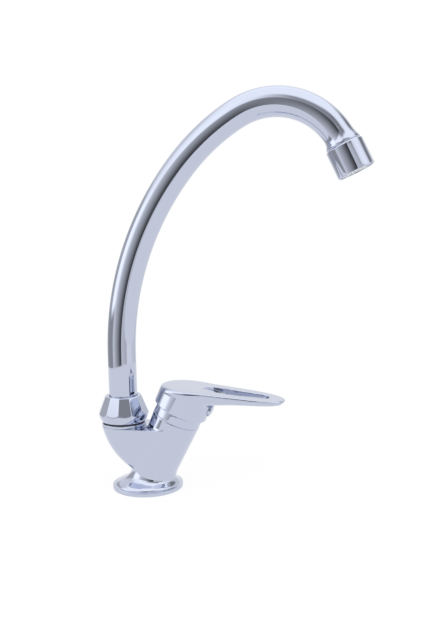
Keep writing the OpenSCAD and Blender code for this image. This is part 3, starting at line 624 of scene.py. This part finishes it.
def cell_points(value, axes):
    """A point in each cell that the surface crosses, and the cells' numbers, or -1 for none."""
    cells = tuple(size - 1 for size in value.shape)
    total = np.zeros(cells + (3,))
    count = np.zeros(cells)
    for axis in range(3):
        first, second = other_axes(axis)
        crossing, place = edge_crossings(value, axes, axis)
        for step_first in (0, 1):
            for step_second in (0, 1):
                part = [slice(None)] * 3
                part[first] = slice(step_first, step_first + cells[first])
                part[second] = slice(step_second, step_second + cells[second])
                hit = crossing[tuple(part)]
                total += place[tuple(part)] * hit[..., None]
                count += hit
    used = count > 0
    number = np.full(cells, -1)
    number[used] = np.arange(used.sum())
    return total[used] / count[used][:, None], number


def cell_faces(inside, number):
    """A face across each edge that crosses the surface, turned to look outward."""
    cells = number.shape
    faces = []
    for axis in range(3):
        first, second = other_axes(axis)
        lower, upper = edge_ends(axis, slice(1, -1))
        start, end = inside[lower], inside[upper]
        corners = []
        for step_first, step_second in ((0, 0), (1, 0), (1, 1), (0, 1)):
            part = [slice(None)] * 3
            part[first] = slice(step_first, step_first + cells[first] - 1)
            part[second] = slice(step_second, step_second + cells[second] - 1)
            corners.append(number[tuple(part)])
        quads = np.stack(corners, -1)
        outward = quads[start & ~end]
        inward = quads[~start & end][:, ::-1]
        if axis == 1:
            outward, inward = outward[:, ::-1], inward[:, ::-1]
        faces += [outward, inward]
    return np.concatenate(faces).tolist()


def slope_of(field, points):
    parts = []
    for axis in range(3):
        shift = np.zeros(3)
        shift[axis] = SLOPE_REACH
        rise = field(*(points + shift).T) - field(*(points - shift).T)
        parts.append(rise / (2 * SLOPE_REACH))
    return np.stack(parts, -1)


def settled(field, points, cell):
    """The points moved onto the surface, and its unit normals there."""
    for _ in range(SETTLING_ROUNDS):
        slope = slope_of(field, points)
        steepness = np.maximum((slope ** 2).sum(-1), 1e-4)
        move = -slope * (field(*points.T) / steepness)[:, None]
        size = np.linalg.norm(move, axis=-1, keepdims=True)
        points = points + move * np.minimum(1.0, SETTLING_STEP * cell / np.maximum(size, 1e-9))
    slope = slope_of(field, points)
    return points, slope / np.maximum(np.linalg.norm(slope, axis=-1, keepdims=True), 1e-9)


def surface_of(field, low, high, cell, fine=None):
    """The zero surface of field as points, faces and unit normals."""
    axes = grid_axes(low, high, cell, fine)
    value = grid_values(field, axes)
    points, number = cell_points(value, axes)
    faces = cell_faces(value < 0, number)
    points, normals = settled(field, points, cell)
    return points, faces, normals


# --- Body casting --------------------------------------------------------------------------------

BODY_CELL, BODY_QUICK_CELL = 0.55, 0.9
BODY_MARGIN = 1.37
# The flange's edge is thin, so its cells are smaller
EDGE_CELLS_END_Z, EDGE_CELL = 4.2, 0.25


def tower_place(x, z):
    """Distances across and along the tower's axis."""
    across = (x - TOWER_FOOT_X) * math.cos(TOWER_TILT) - z * math.sin(TOWER_TILT)
    along = (x - TOWER_FOOT_X) * math.sin(TOWER_TILT) + z * math.cos(TOWER_TILT)
    return across, along


def boss_section(z):
    """Rear and half width of the boss at a height. Its rear outline is an arc from top to foot."""
    top, foot = np.array(BOSS_TOP), np.array(BOSS_FOOT)
    chord = foot - top
    half = np.linalg.norm(chord) / 2
    side = np.array([-chord[1], chord[0]]) / np.linalg.norm(chord)
    centre = (top + foot) / 2 + math.sqrt(BOSS_BACK_R ** 2 - half ** 2) * side
    height = np.clip(z, BOSS_FOOT[1], BOSS_TOP[1])
    rear = centre[0] - np.sqrt(BOSS_BACK_R ** 2 - (height - centre[1]) ** 2)
    share = (height - BOSS_FOOT[1]) / (BOSS_TOP[1] - BOSS_FOOT[1])
    return rear, BOSS_FOOT_R + (BOSS_R - BOSS_FOOT_R) * share


def flange_field(x, y, z):
    """A straight edge, a small step and an elliptical shoulder up to the flat."""
    radius = np.hypot(x, y)
    edge = soft_max(radius - FLANGE_R, z - FLANGE_EDGE_H, FLANGE_EDGE_ROUND)
    run, rise = FLANGE_R - FLANGE_STEP - FLANGE_FLAT_R, FLANGE_TOP_Z - FLANGE_EDGE_H
    out = np.maximum(radius - FLANGE_FLAT_R, 0.0) / run
    up = np.maximum(z - FLANGE_EDGE_H, 0.0) / rise
    shoulder = (np.sqrt(out ** 2 + up ** 2) - 1.0) * rise
    return soft_min(edge, shoulder, FLANGE_STEP_ROUND)


def tower_field(y, across, along):
    widening = (TOWER_TOP_R - TOWER_FOOT_R) * along / TOWER_L
    tower = np.hypot(across, y) - TOWER_FOOT_R - widening
    return soft_max(tower, along - TOWER_L, TOWER_EDGE_ROUND)


def boss_field(x, y, z):
    """The boss and the web that joins it to the tower."""
    tower_x = TOWER_FOOT_X + z * math.tan(TOWER_TILT)
    rear, half = boss_section(z)
    nearest_x = np.clip(x, np.minimum(rear + half, tower_x), tower_x)
    side = np.hypot(x - nearest_x, y) - half
    return soft_max(BOSS_SLOPE * side, z - BOSS_TOP[1], BOSS_EDGE_ROUND)


def body_bores_field(x, y, z, across, along):
    """Everything that is cut out of the casting."""
    from_axis = np.hypot(across, y)
    from_swivel = np.hypot(x - SWIVEL_X, y)
    hollow = np.maximum(from_axis - CARTRIDGE_R, CARTRIDGE_SEAT_L - along)
    hollow = np.minimum(hollow, np.maximum(from_axis - THREAD_R, THREAD_L - along))
    hollow = np.minimum(hollow, np.maximum(from_swivel - SOCKET_R, SOCKET_Z - z))
    for centre_x, centre_y, radius, depth in [STUD] + INLETS:
        hole = np.hypot(x - centre_x, y - centre_y) - radius
        hollow = np.minimum(hollow, np.maximum(hole, z - depth))
    for centre_x, centre_y, _, _ in INLETS:
        supply = np.hypot(x - centre_x, y - centre_y) - SUPPLY_R
        hollow = np.minimum(hollow, np.maximum(supply, along - SUPPLY_END_L))
    groove = np.abs(np.hypot(x, y) - GASKET_R + GASKET_W / 2) - GASKET_W / 2
    return np.minimum(hollow, np.maximum(groove, z - GASKET_T))


def body_field(x, y, z):
    across, along = tower_place(x, z)
    form = soft_min(tower_field(y, across, along), boss_field(x, y, z), BOSS_BLEND)
    form = soft_min(form, flange_field(x, y, z), FLANGE_BLEND)
    nipple_side = np.hypot(x - SWIVEL_X, y) - NIPPLE_R
    nipple_ends = np.abs(z - NIPPLE_TOP_Z + NIPPLE_HALF_H) - NIPPLE_HALF_H
    form = np.minimum(form, np.maximum(nipple_side, nipple_ends))
    form = soft_max(form, -z, FOOT_ROUND)
    return soft_max(form, -body_bores_field(x, y, z, across, along), BORE_EDGE_ROUND)


def make_body():
    cell = BODY_CELL
    low, high = BODY_LOW - BODY_MARGIN, BODY_HIGH + BODY_MARGIN
    fine = (2, EDGE_CELLS_END_Z, EDGE_CELL)
    points, faces, normals = surface_of(body_field, low, high, cell, fine=fine)
    add_piece("body_casting", points, faces, "body", "base", normals=normals)


# --- Handle --------------------------------------------------------------------------------------
# along runs down the lever's top from the tower's axis, and above is the height over that top.

HANDLE_CELL, HANDLE_QUICK_CELL = 0.5, 0.9
HANDLE_MARGIN = 1.23

LEVER_W0 = 20.9
LEVER_NARROWING = 0.096
TIP_START = 40.0
TIP_POWER = 2.7
EDGE_T = 1.7
EDGE_ROUND = 0.8
BELLY_INSET = 0.9
BELLY_POWER = 2.8
BELLY_OVERLAP = 0.4
BELLY_EDGE_ROUND = 0.3
BELLY_WIDEST = 1.6
# Depth of the belly at BELLY_PLACE, and how it falls and curves from there to the tip
BELLY_PLACE = 23.4
BELLY_DEPTH = 10.6
BELLY_FALL = 0.19
BELLY_CURVE = 0.0022
BELLY_BACK = 6.0
BELLY_LEAST_DEPTH = 1.0
# The belly is narrower still where it runs into the head
HEAD_INSET, HEAD_INSET_RUN = 3.6, 16.0
HEAD_INSET_POWER = 1.5

SLOT_START, SLOT_END = 20.5, 61.0
SLOT_NEAR_R, SLOT_FAR_R = 8.0, 6.7
SLOT_EDGE_ROUND = 1.0
LEAD_IN_START, LEAD_IN_DEPTH = 6.7, 2.6
LEAD_IN_EDGE_ROUND = 0.5
LEAD_IN_RUN = SLOT_START - LEAD_IN_START
# Its sides open to the slot's width over this share of its run
LEAD_IN_OPENING = 0.7
LEAD_IN_SPREAD = math.atan2(SLOT_NEAR_R, LEAD_IN_OPENING * LEAD_IN_RUN)

HEAD_BLEND = 4.5
HEAD_RIM, LEVER_RIM, RIM_RUN = 4.2, 1.8, 40.0
SKIRT_EDGE_ROUND = 0.5
BELOW_SKIRT = 3
HUB_R = 6.5
HUB_L = 71.55
STEM_HALF = (3.05, 3.55)
STEM_TOP_L = 81.25
SCREW_R = 2.05
BUTTON_SEAT_R = 17.0
BUTTON_GAP = 0.1


def lever_place(x, z):
    """Distances along and above the lever's flat top."""
    origin_x = TOWER_FOOT_X + HEAD_TOP_L * math.sin(TOWER_TILT)
    origin_z = HEAD_TOP_L * math.cos(TOWER_TILT)
    along = (x - origin_x) * math.cos(TOP_SLOPE) - (z - origin_z) * math.sin(TOP_SLOPE)
    above = (x - origin_x) * math.sin(TOP_SLOPE) + (z - origin_z) * math.cos(TOP_SLOPE)
    return along, above


def belly_depth(along):
    run = along - BELLY_PLACE
    return BELLY_DEPTH - BELLY_FALL * run + BELLY_CURVE * run ** 2


def lever_field(along, y, above):
    """A thin plate with a rounded tip, over a belly that is set in from its edge."""
    half = LEVER_W0 - LEVER_NARROWING * np.maximum(along, 0.0)
    tip = np.maximum(along - TIP_START, 0.0)
    behind = np.minimum(along, 0.0) / LEVER_W0

    def outline(side, reach):
        return (side ** TIP_POWER + (tip / reach) ** TIP_POWER) ** (1 / TIP_POWER)

    plate_side = np.maximum(np.hypot(y / half, behind), 1e-6)
    plate = (outline(plate_side, LEVER_L - TIP_START) - 1) * half
    plate = soft_max(plate, -EDGE_T - above, EDGE_ROUND)
    depth = belly_depth(np.clip(along, BELLY_BACK, LEVER_L)) - EDGE_T
    depth = np.maximum(depth, BELLY_LEAST_DEPTH)
    to_head = np.clip((HEAD_INSET_RUN - along) / HEAD_INSET_RUN, 0.0, 1.0)
    inner = half - BELLY_INSET - HEAD_INSET * to_head ** HEAD_INSET_POWER
    down = np.maximum(-EDGE_T + BELLY_OVERLAP - above, 0.0) / depth
    flat = outline(np.hypot(y / inner, behind), LEVER_L - TIP_START - BELLY_INSET)
    share = (flat ** BELLY_POWER + down ** BELLY_POWER) ** (1 / BELLY_POWER)
    belly = (share - 1) * np.minimum(inner, BELLY_WIDEST * depth)
    return soft_min(plate, belly, BELLY_EDGE_ROUND)


def slot_field(along, y):
    near, far = SLOT_START + SLOT_NEAR_R, SLOT_END - SLOT_FAR_R
    share = np.clip((along - near) / (far - near), 0.0, 1.0)
    radius = SLOT_NEAR_R + (SLOT_FAR_R - SLOT_NEAR_R) * share
    return np.hypot(along - near - share * (far - near), y) - radius


def lead_in_field(along, y, above):
    """A wedge that opens and deepens from the head's top into the slot."""
    ahead = along - LEAD_IN_START
    wedge = np.abs(y) * math.cos(LEAD_IN_SPREAD) - ahead * math.sin(LEAD_IN_SPREAD)
    width = np.maximum(wedge, np.abs(y) - SLOT_NEAR_R)
    floor = -ahead * LEAD_IN_DEPTH / LEAD_IN_RUN - above
    return np.maximum(np.maximum(width, floor), ahead - LEAD_IN_RUN - SLOT_NEAR_R)


def handle_bores_field(y, across, axial):
    """The hollow under the head, round its hub, and the holes for stem, screw and button."""
    from_axis = np.hypot(across, y)
    hollow = np.hypot(from_axis, axial - PIVOT_L) - HOLLOW_R
    hollow = np.maximum(hollow, -np.maximum(from_axis - HUB_R, HUB_L - axial))
    stem = np.maximum(np.abs(across) - STEM_HALF[0], np.abs(y) - STEM_HALF[1])
    hollow = np.minimum(hollow, np.maximum(stem, axial - STEM_TOP_L))
    from_screw = np.hypot(axial - BUTTON_L, y)
    hollow = np.minimum(hollow, np.maximum(from_screw - SCREW_R, -across))
    button = np.maximum(from_screw - BUTTON_R - BUTTON_GAP, BUTTON_SEAT_R - across)
    return np.minimum(hollow, button)


def handle_field(x, y, z):
    across, axial = tower_place(x, z)
    along, above = lever_place(x, z)
    head = np.hypot(across, y) - SKIRT_R - SKIRT_TAPER * (axial - SKIRT_L)
    form = soft_min(head, lever_field(along, y, above), HEAD_BLEND)
    under_skirt = axial < SKIRT_L - BELOW_SKIRT
    form = np.where(under_skirt, np.maximum(form, SKIRT_L - axial), form)
    rim = HEAD_RIM + (LEVER_RIM - HEAD_RIM) * np.clip(along / RIM_RUN, 0.0, 1.0)
    form = soft_max(form, above, rim)
    form = soft_max(form, SKIRT_L - axial, SKIRT_EDGE_ROUND)
    form = soft_max(form, -slot_field(along, y), SLOT_EDGE_ROUND)
    form = soft_max(form, -lead_in_field(along, y, above), LEAD_IN_EDGE_ROUND)
    return soft_max(form, -handle_bores_field(y, across, axial), BORE_EDGE_ROUND)


def make_handle():
    cell = HANDLE_CELL
    low, high = box_mm("handle")
    low, high = low - HANDLE_MARGIN, high + HANDLE_MARGIN
    points, faces, normals = surface_of(handle_field, low, high, cell)
    add_piece("lever_handle", points, faces, "handle", "lever", normals=normals)


# --- Spout ---------------------------------------------------------------------------------------

PATH_STEP = 1.5
PATH_FINE_STEPS = 10
BEND_EASING = 14.0
TUBE_STEPS = 96
BORE_RING_EVERY = 4


def bend_at(distance, lengths):
    """Curvature along the tube, where each bend eases into the next."""
    bend = np.zeros_like(distance)
    start = lengths[0]
    for number, (radius, _) in enumerate(BENDS):
        end = start + lengths[number + 1]
        share = np.clip((distance - start) / BEND_EASING + 0.5, 0.0, 1.0)
        if number < len(BENDS) - 1:
            share = share * np.clip((end - distance) / BEND_EASING + 0.5, 0.0, 1.0)
        bend += share / radius
        start = end
    return bend


def plain_arcs_end():
    """Where the tube would end if its bends met without easing."""
    x, z, turn = SWIVEL_X, BEND_START_Z, 0.0
    for radius, angle in BENDS:
        turn_after = turn + math.radians(angle)
        x += radius * (math.cos(turn) - math.cos(turn_after))
        z += radius * (math.sin(turn_after) - math.sin(turn))
        turn = turn_after
    return x, z


def spout_path():
    """Distances, places and headings along the tube's centre line, from foot to outlet."""
    lengths = [BEND_START_Z - TUBE_FOOT_Z]
    lengths += [radius * math.radians(angle) for radius, angle in BENDS]
    total = sum(lengths)
    count = int(round(total / PATH_STEP))
    distance = np.linspace(0.0, total, count * PATH_FINE_STEPS + 1)
    gap = distance[1] - distance[0]
    bend = bend_at(distance, lengths)
    heading = np.concatenate([[0.0], np.cumsum((bend[1:] + bend[:-1]) / 2) * gap])
    heading *= math.radians(sum(angle for _, angle in BENDS)) / heading[-1]
    middle = (heading[1:] + heading[:-1]) / 2
    x = np.concatenate([[0.0], np.cumsum(np.sin(middle)) * gap]) + SWIVEL_X
    z = np.concatenate([[0.0], np.cumsum(np.cos(middle)) * gap]) + TUBE_FOOT_Z
    end_x, end_z = plain_arcs_end()
    share = np.clip((distance - lengths[0]) / (total - lengths[0]), 0.0, 1.0)
    share = share * share * (3 - 2 * share)
    x += (end_x - x[-1]) * share
    z += (end_z - z[-1]) * share
    kept = slice(None, None, PATH_FINE_STEPS)
    return distance[kept], x[kept], z[kept], heading[kept]


def outlet_place():
    _, x, z, heading = spout_path()
    return Matrix.Translation((x[-1], 0.0, z[-1])) @ Matrix.Rotation(heading[-1], 4, "Y")


def outer_rings(stations):
    """(x, z, heading, radius) of the tube's outside, which flares at the outlet."""
    total = stations[-1][0]
    rings = []
    for run, x, z, heading in stations:
        grow = max(0.0, (run - total + FLARE_RUN) / FLARE_RUN)
        rings.append((x, z, heading, TUBE_R + (FLARE_R - TUBE_R) * grow ** FLARE_POWER))
    return rings


def sleeve_rings(end):
    """Rings of the sleeve beyond the tube's end, which carries the shell."""
    _, x, z, heading = end
    rings = []
    for run, radius in [
        (SHELL_START - FLARE_CHAMFER, FLARE_R), (SHELL_START, FLARE_R - FLARE_CHAMFER),
        (SHELL_START, SHELL_NECK_R), (SHELL_NECK_END, SHELL_NECK_R), (SHELL_NECK_END, TUBE_BORE_R),
    ]:
        rings.append((x + run * math.sin(heading), z + run * math.cos(heading), heading, radius))
    return rings


def make_tube():
    stations = list(zip(*spout_path()))
    bore = stations[::-BORE_RING_EVERY] + stations[:1]
    rings = outer_rings(stations) + sleeve_rings(stations[-1])
    rings += [(x, z, heading, TUBE_BORE_R) for _, x, z, heading in bore]
    points = []
    for x, z, heading, radius in rings:
        for step in range(TUBE_STEPS):
            turn = 2 * math.pi * step / TUBE_STEPS
            side = radius * math.cos(turn)
            points.append(np.array((
                x + side * math.cos(heading), radius * math.sin(turn), z - side * math.sin(heading),
            )))
    faces = closed_rings(len(rings), TUBE_STEPS)
    add_piece("spout_tube_bent", points, faces, "spout_tube", "spout", also=("outlet_sleeve",))


# --- Spout nut -----------------------------------------------------------------------------------

NUT_STEPS = 360
NUT_LEVELS = 60
NUT_EDGE = 0.45
NUT_BAND_POWER = 0.9
NUT_FACET_ROUND = 0.35
NUT_BORE_R = TUBE_R + 0.3
NUT_BORE_CHAMFER = 0.2
NIPPLE_CLEAR_R = NIPPLE_R + 0.1


def nut_radius(angle, z):
    """A round band that swells from the foot, cut by facets that lean in to the top."""
    low_share = np.clip((z - NUT_Z) / (NUT_WIDE_Z - NUT_Z), 0.0, 1.0)
    swelling = math.sin(math.pi / 2 * low_share) ** NUT_BAND_POWER
    band = NUT_FOOT_R + (NUT_WIDE_R - NUT_FOOT_R) * swelling
    wide_flat = NUT_WIDE_R * math.cos(math.pi / NUT_FACETS)
    flat = wide_flat + (NUT_TOP_R - wide_flat) * (z - NUT_WIDE_Z) / (NUT_TOP_Z - NUT_WIDE_Z)
    facet = 2 * math.pi / NUT_FACETS
    offset = ((angle - NUT_TURN) / facet) % 1.0 - 0.5
    plane = flat / math.cos(offset * facet)
    return float(soft_min(np.array(band), np.array(plane), NUT_FACET_ROUND))


def nut_edge_trim(z):
    """How far the nut's two edges are rounded in at a height."""
    trim = 0.0
    for end in (NUT_Z, NUT_TOP_Z):
        near = NUT_EDGE - abs(z - end)
        if near > 0:
            trim = NUT_EDGE - math.sqrt(NUT_EDGE ** 2 - near ** 2)
    return trim


def make_nut():
    angles = [2 * math.pi * step / NUT_STEPS for step in range(NUT_STEPS)]
    rows = []
    for level in range(NUT_LEVELS + 1):
        z = NUT_Z + (NUT_TOP_Z - NUT_Z) * level / NUT_LEVELS
        rows.append([(nut_radius(angle, z) - nut_edge_trim(z), z) for angle in angles])
    for bore in [
        (NUT_BORE_R + NUT_BORE_CHAMFER, NUT_TOP_Z), (NUT_BORE_R, NUT_TOP_Z - NUT_BORE_CHAMFER),
        (NUT_BORE_R, NUT_TOP_Z - NUT_TOP_T), (NIPPLE_CLEAR_R, NUT_TOP_Z - NUT_TOP_T),
        (NIPPLE_CLEAR_R, NUT_Z),
    ]:
        rows.append([bore] * NUT_STEPS)
    points = []
    for row in rows:
        for angle, (radius, z) in zip(angles, row):
            side = (radius * math.cos(angle), radius * math.sin(angle))
            points.append(np.array((SWIVEL_X + side[0], side[1], z)))
    faces = closed_rings(len(rows), NUT_STEPS)
    add_piece("spout_nut_faceted", points, faces, "spout_nut", "base")


# --- Turned pieces -------------------------------------------------------------------------------

ON_SWIVEL = Matrix.Translation((SWIVEL_X, 0.0, 0.0))
ON_TOWER = Matrix.Translation((TOWER_FOOT_X, 0.0, 0.0)) @ Matrix.Rotation(TOWER_TILT, 4, "Y")

SWIVEL_GROOVE_H = 1.0
SWIVEL_NECK_R = NIPPLE_R + 0.7
# A black ring in the groove between the swivel ring and the nut: painted shade that darkens the gap
SHADE_WASHER_OVERLAP_R, SHADE_WASHER_OVERLAP_Z = 0.2, 0.1
SHADE_WASHER_R = NUT_FOOT_R - 0.5

BONNET_BORE_R = 15.4
BONNET_LIP_R = 14.2
BONNET_LIP_L = 66.7
# Radius of the bonnet ring at its height over the tower's top
BONNET_CROWN = [(18.57, 6.8), (17.9, 7.6), (16.9, 8.5), (16.5, 8.8)]
BONNET_H = 8.8

# Small enough to close the button's outline at its axis
BUTTON_CENTRE_R = 0.001
BUTTON_RISE = 2.0
BUTTON_DOME_R = 14.0
BUTTON_CORNER = 0.1
# Radii of the points on the crown, as shares of the button's radius
BUTTON_CROWN_SHARES = (0.9, 0.7, 0.45, 0.2, 0.001)

SHELL_BORE_R = 12.0
SHELL_LIP_R = 10.8
SHELL_SHELF = 13.1
SHELL_TOP_CHAMFER, SHELL_END_CHAMFER = 1.0, 0.5
SHELL_RIM, SHELL_RECESS = 1.3, 1.2


def make_swivel_ring():
    low, high = box_mm("swivel_ring")
    outer_r = (high[1] - low[1]) / 2
    groove_z = high[2] - SWIVEL_GROOVE_H
    add_turned("swivel_ring_turned", [
        (NIPPLE_CLEAR_R, low[2]), (outer_r, low[2]), (outer_r, groove_z),
        (SWIVEL_NECK_R, groove_z), (SWIVEL_NECK_R, high[2]), (NIPPLE_CLEAR_R, high[2]),
    ], ON_SWIVEL, "swivel_ring", "base", radius=0.35)
    # The black rubber ring that fills the groove is painted shade of the gap between ring and nut
    shade_washer_bore_r = SWIVEL_NECK_R - SHADE_WASHER_OVERLAP_R
    shade_washer_z = groove_z - SHADE_WASHER_OVERLAP_Z
    add_turned("swivel_shade_washer_turned", [
        (shade_washer_bore_r, shade_washer_z), (SHADE_WASHER_R, shade_washer_z), (SHADE_WASHER_R, high[2]),
        (shade_washer_bore_r, high[2]),
    ], ON_SWIVEL, "swivel_ring", "base", radius=0.1, finish="rubber", slot="seal_rubber")


def make_bonnet_ring():
    crown = [(radius, TOWER_L + rise) for radius, rise in BONNET_CROWN]
    add_turned("bonnet_ring_turned", [
        (BONNET_BORE_R, TOWER_L), (TOWER_TOP_R, TOWER_L),
    ] + crown + [
        (BONNET_LIP_R, TOWER_L + BONNET_H), (BONNET_LIP_R, BONNET_LIP_L),
        (BONNET_BORE_R, BONNET_LIP_L),
    ], ON_TOWER, "bonnet_ring", "base", radius=0.4)


def make_button():
    """A domed button whose crown stands a little proud of the skirt."""
    face_r = SKIRT_R + (BUTTON_L - SKIRT_L) * SKIRT_TAPER + BUTTON_RISE
    to_button = Matrix.Translation((0.0, 0.0, BUTTON_L)) @ Matrix.Rotation(math.pi / 2, 4, "Y")
    dome_h = BUTTON_DOME_R - math.sqrt(BUTTON_DOME_R ** 2 - BUTTON_R ** 2)
    crown = []
    for share in BUTTON_CROWN_SHARES:
        radius = BUTTON_R * share
        sphere_h = math.sqrt(BUTTON_DOME_R ** 2 - radius ** 2)
        crown.append((radius, face_r - BUTTON_DOME_R + sphere_h))
    add_turned("index_button_domed", [
        (BUTTON_CENTRE_R, BUTTON_SEAT_R), (BUTTON_R, BUTTON_SEAT_R),
        (BUTTON_R, face_r - dome_h - BUTTON_CORNER),
    ] + crown, ON_TOWER @ to_button, "index_button", "lever", radius=0.3)


def make_shell():
    end = SHELL_START + SHELL_L
    add_turned("aerator_shell_turned", [
        (SHELL_BORE_R, SHELL_START),
        (SHELL_R - SHELL_TOP_CHAMFER, SHELL_START), (SHELL_R, SHELL_START + SHELL_TOP_CHAMFER),
        (SHELL_R, end - SHELL_END_CHAMFER), (SHELL_R - SHELL_END_CHAMFER, end),
        (SHELL_R - SHELL_RIM, end), (SHELL_R - SHELL_RIM, end - SHELL_RECESS),
        (SHELL_LIP_R, end - SHELL_RECESS), (SHELL_LIP_R, SHELL_SHELF),
        (SHELL_BORE_R, SHELL_SHELF),
    ], outlet_place(), "aerator_shell", "spout", radius=0.35)


# --- The scene -----------------------------------------------------------------------------------

make_camera()
make_world()
make_floor()
for lamp in LAMPS:
    make_lamp(*lamp)
dress_cad_nodes()
make_body()
make_handle()
make_tube()
make_nut()
make_swivel_ring()
make_bonnet_ring()
make_button()
make_shell()

bpy.context.scene.view_settings.view_transform = "Standard"
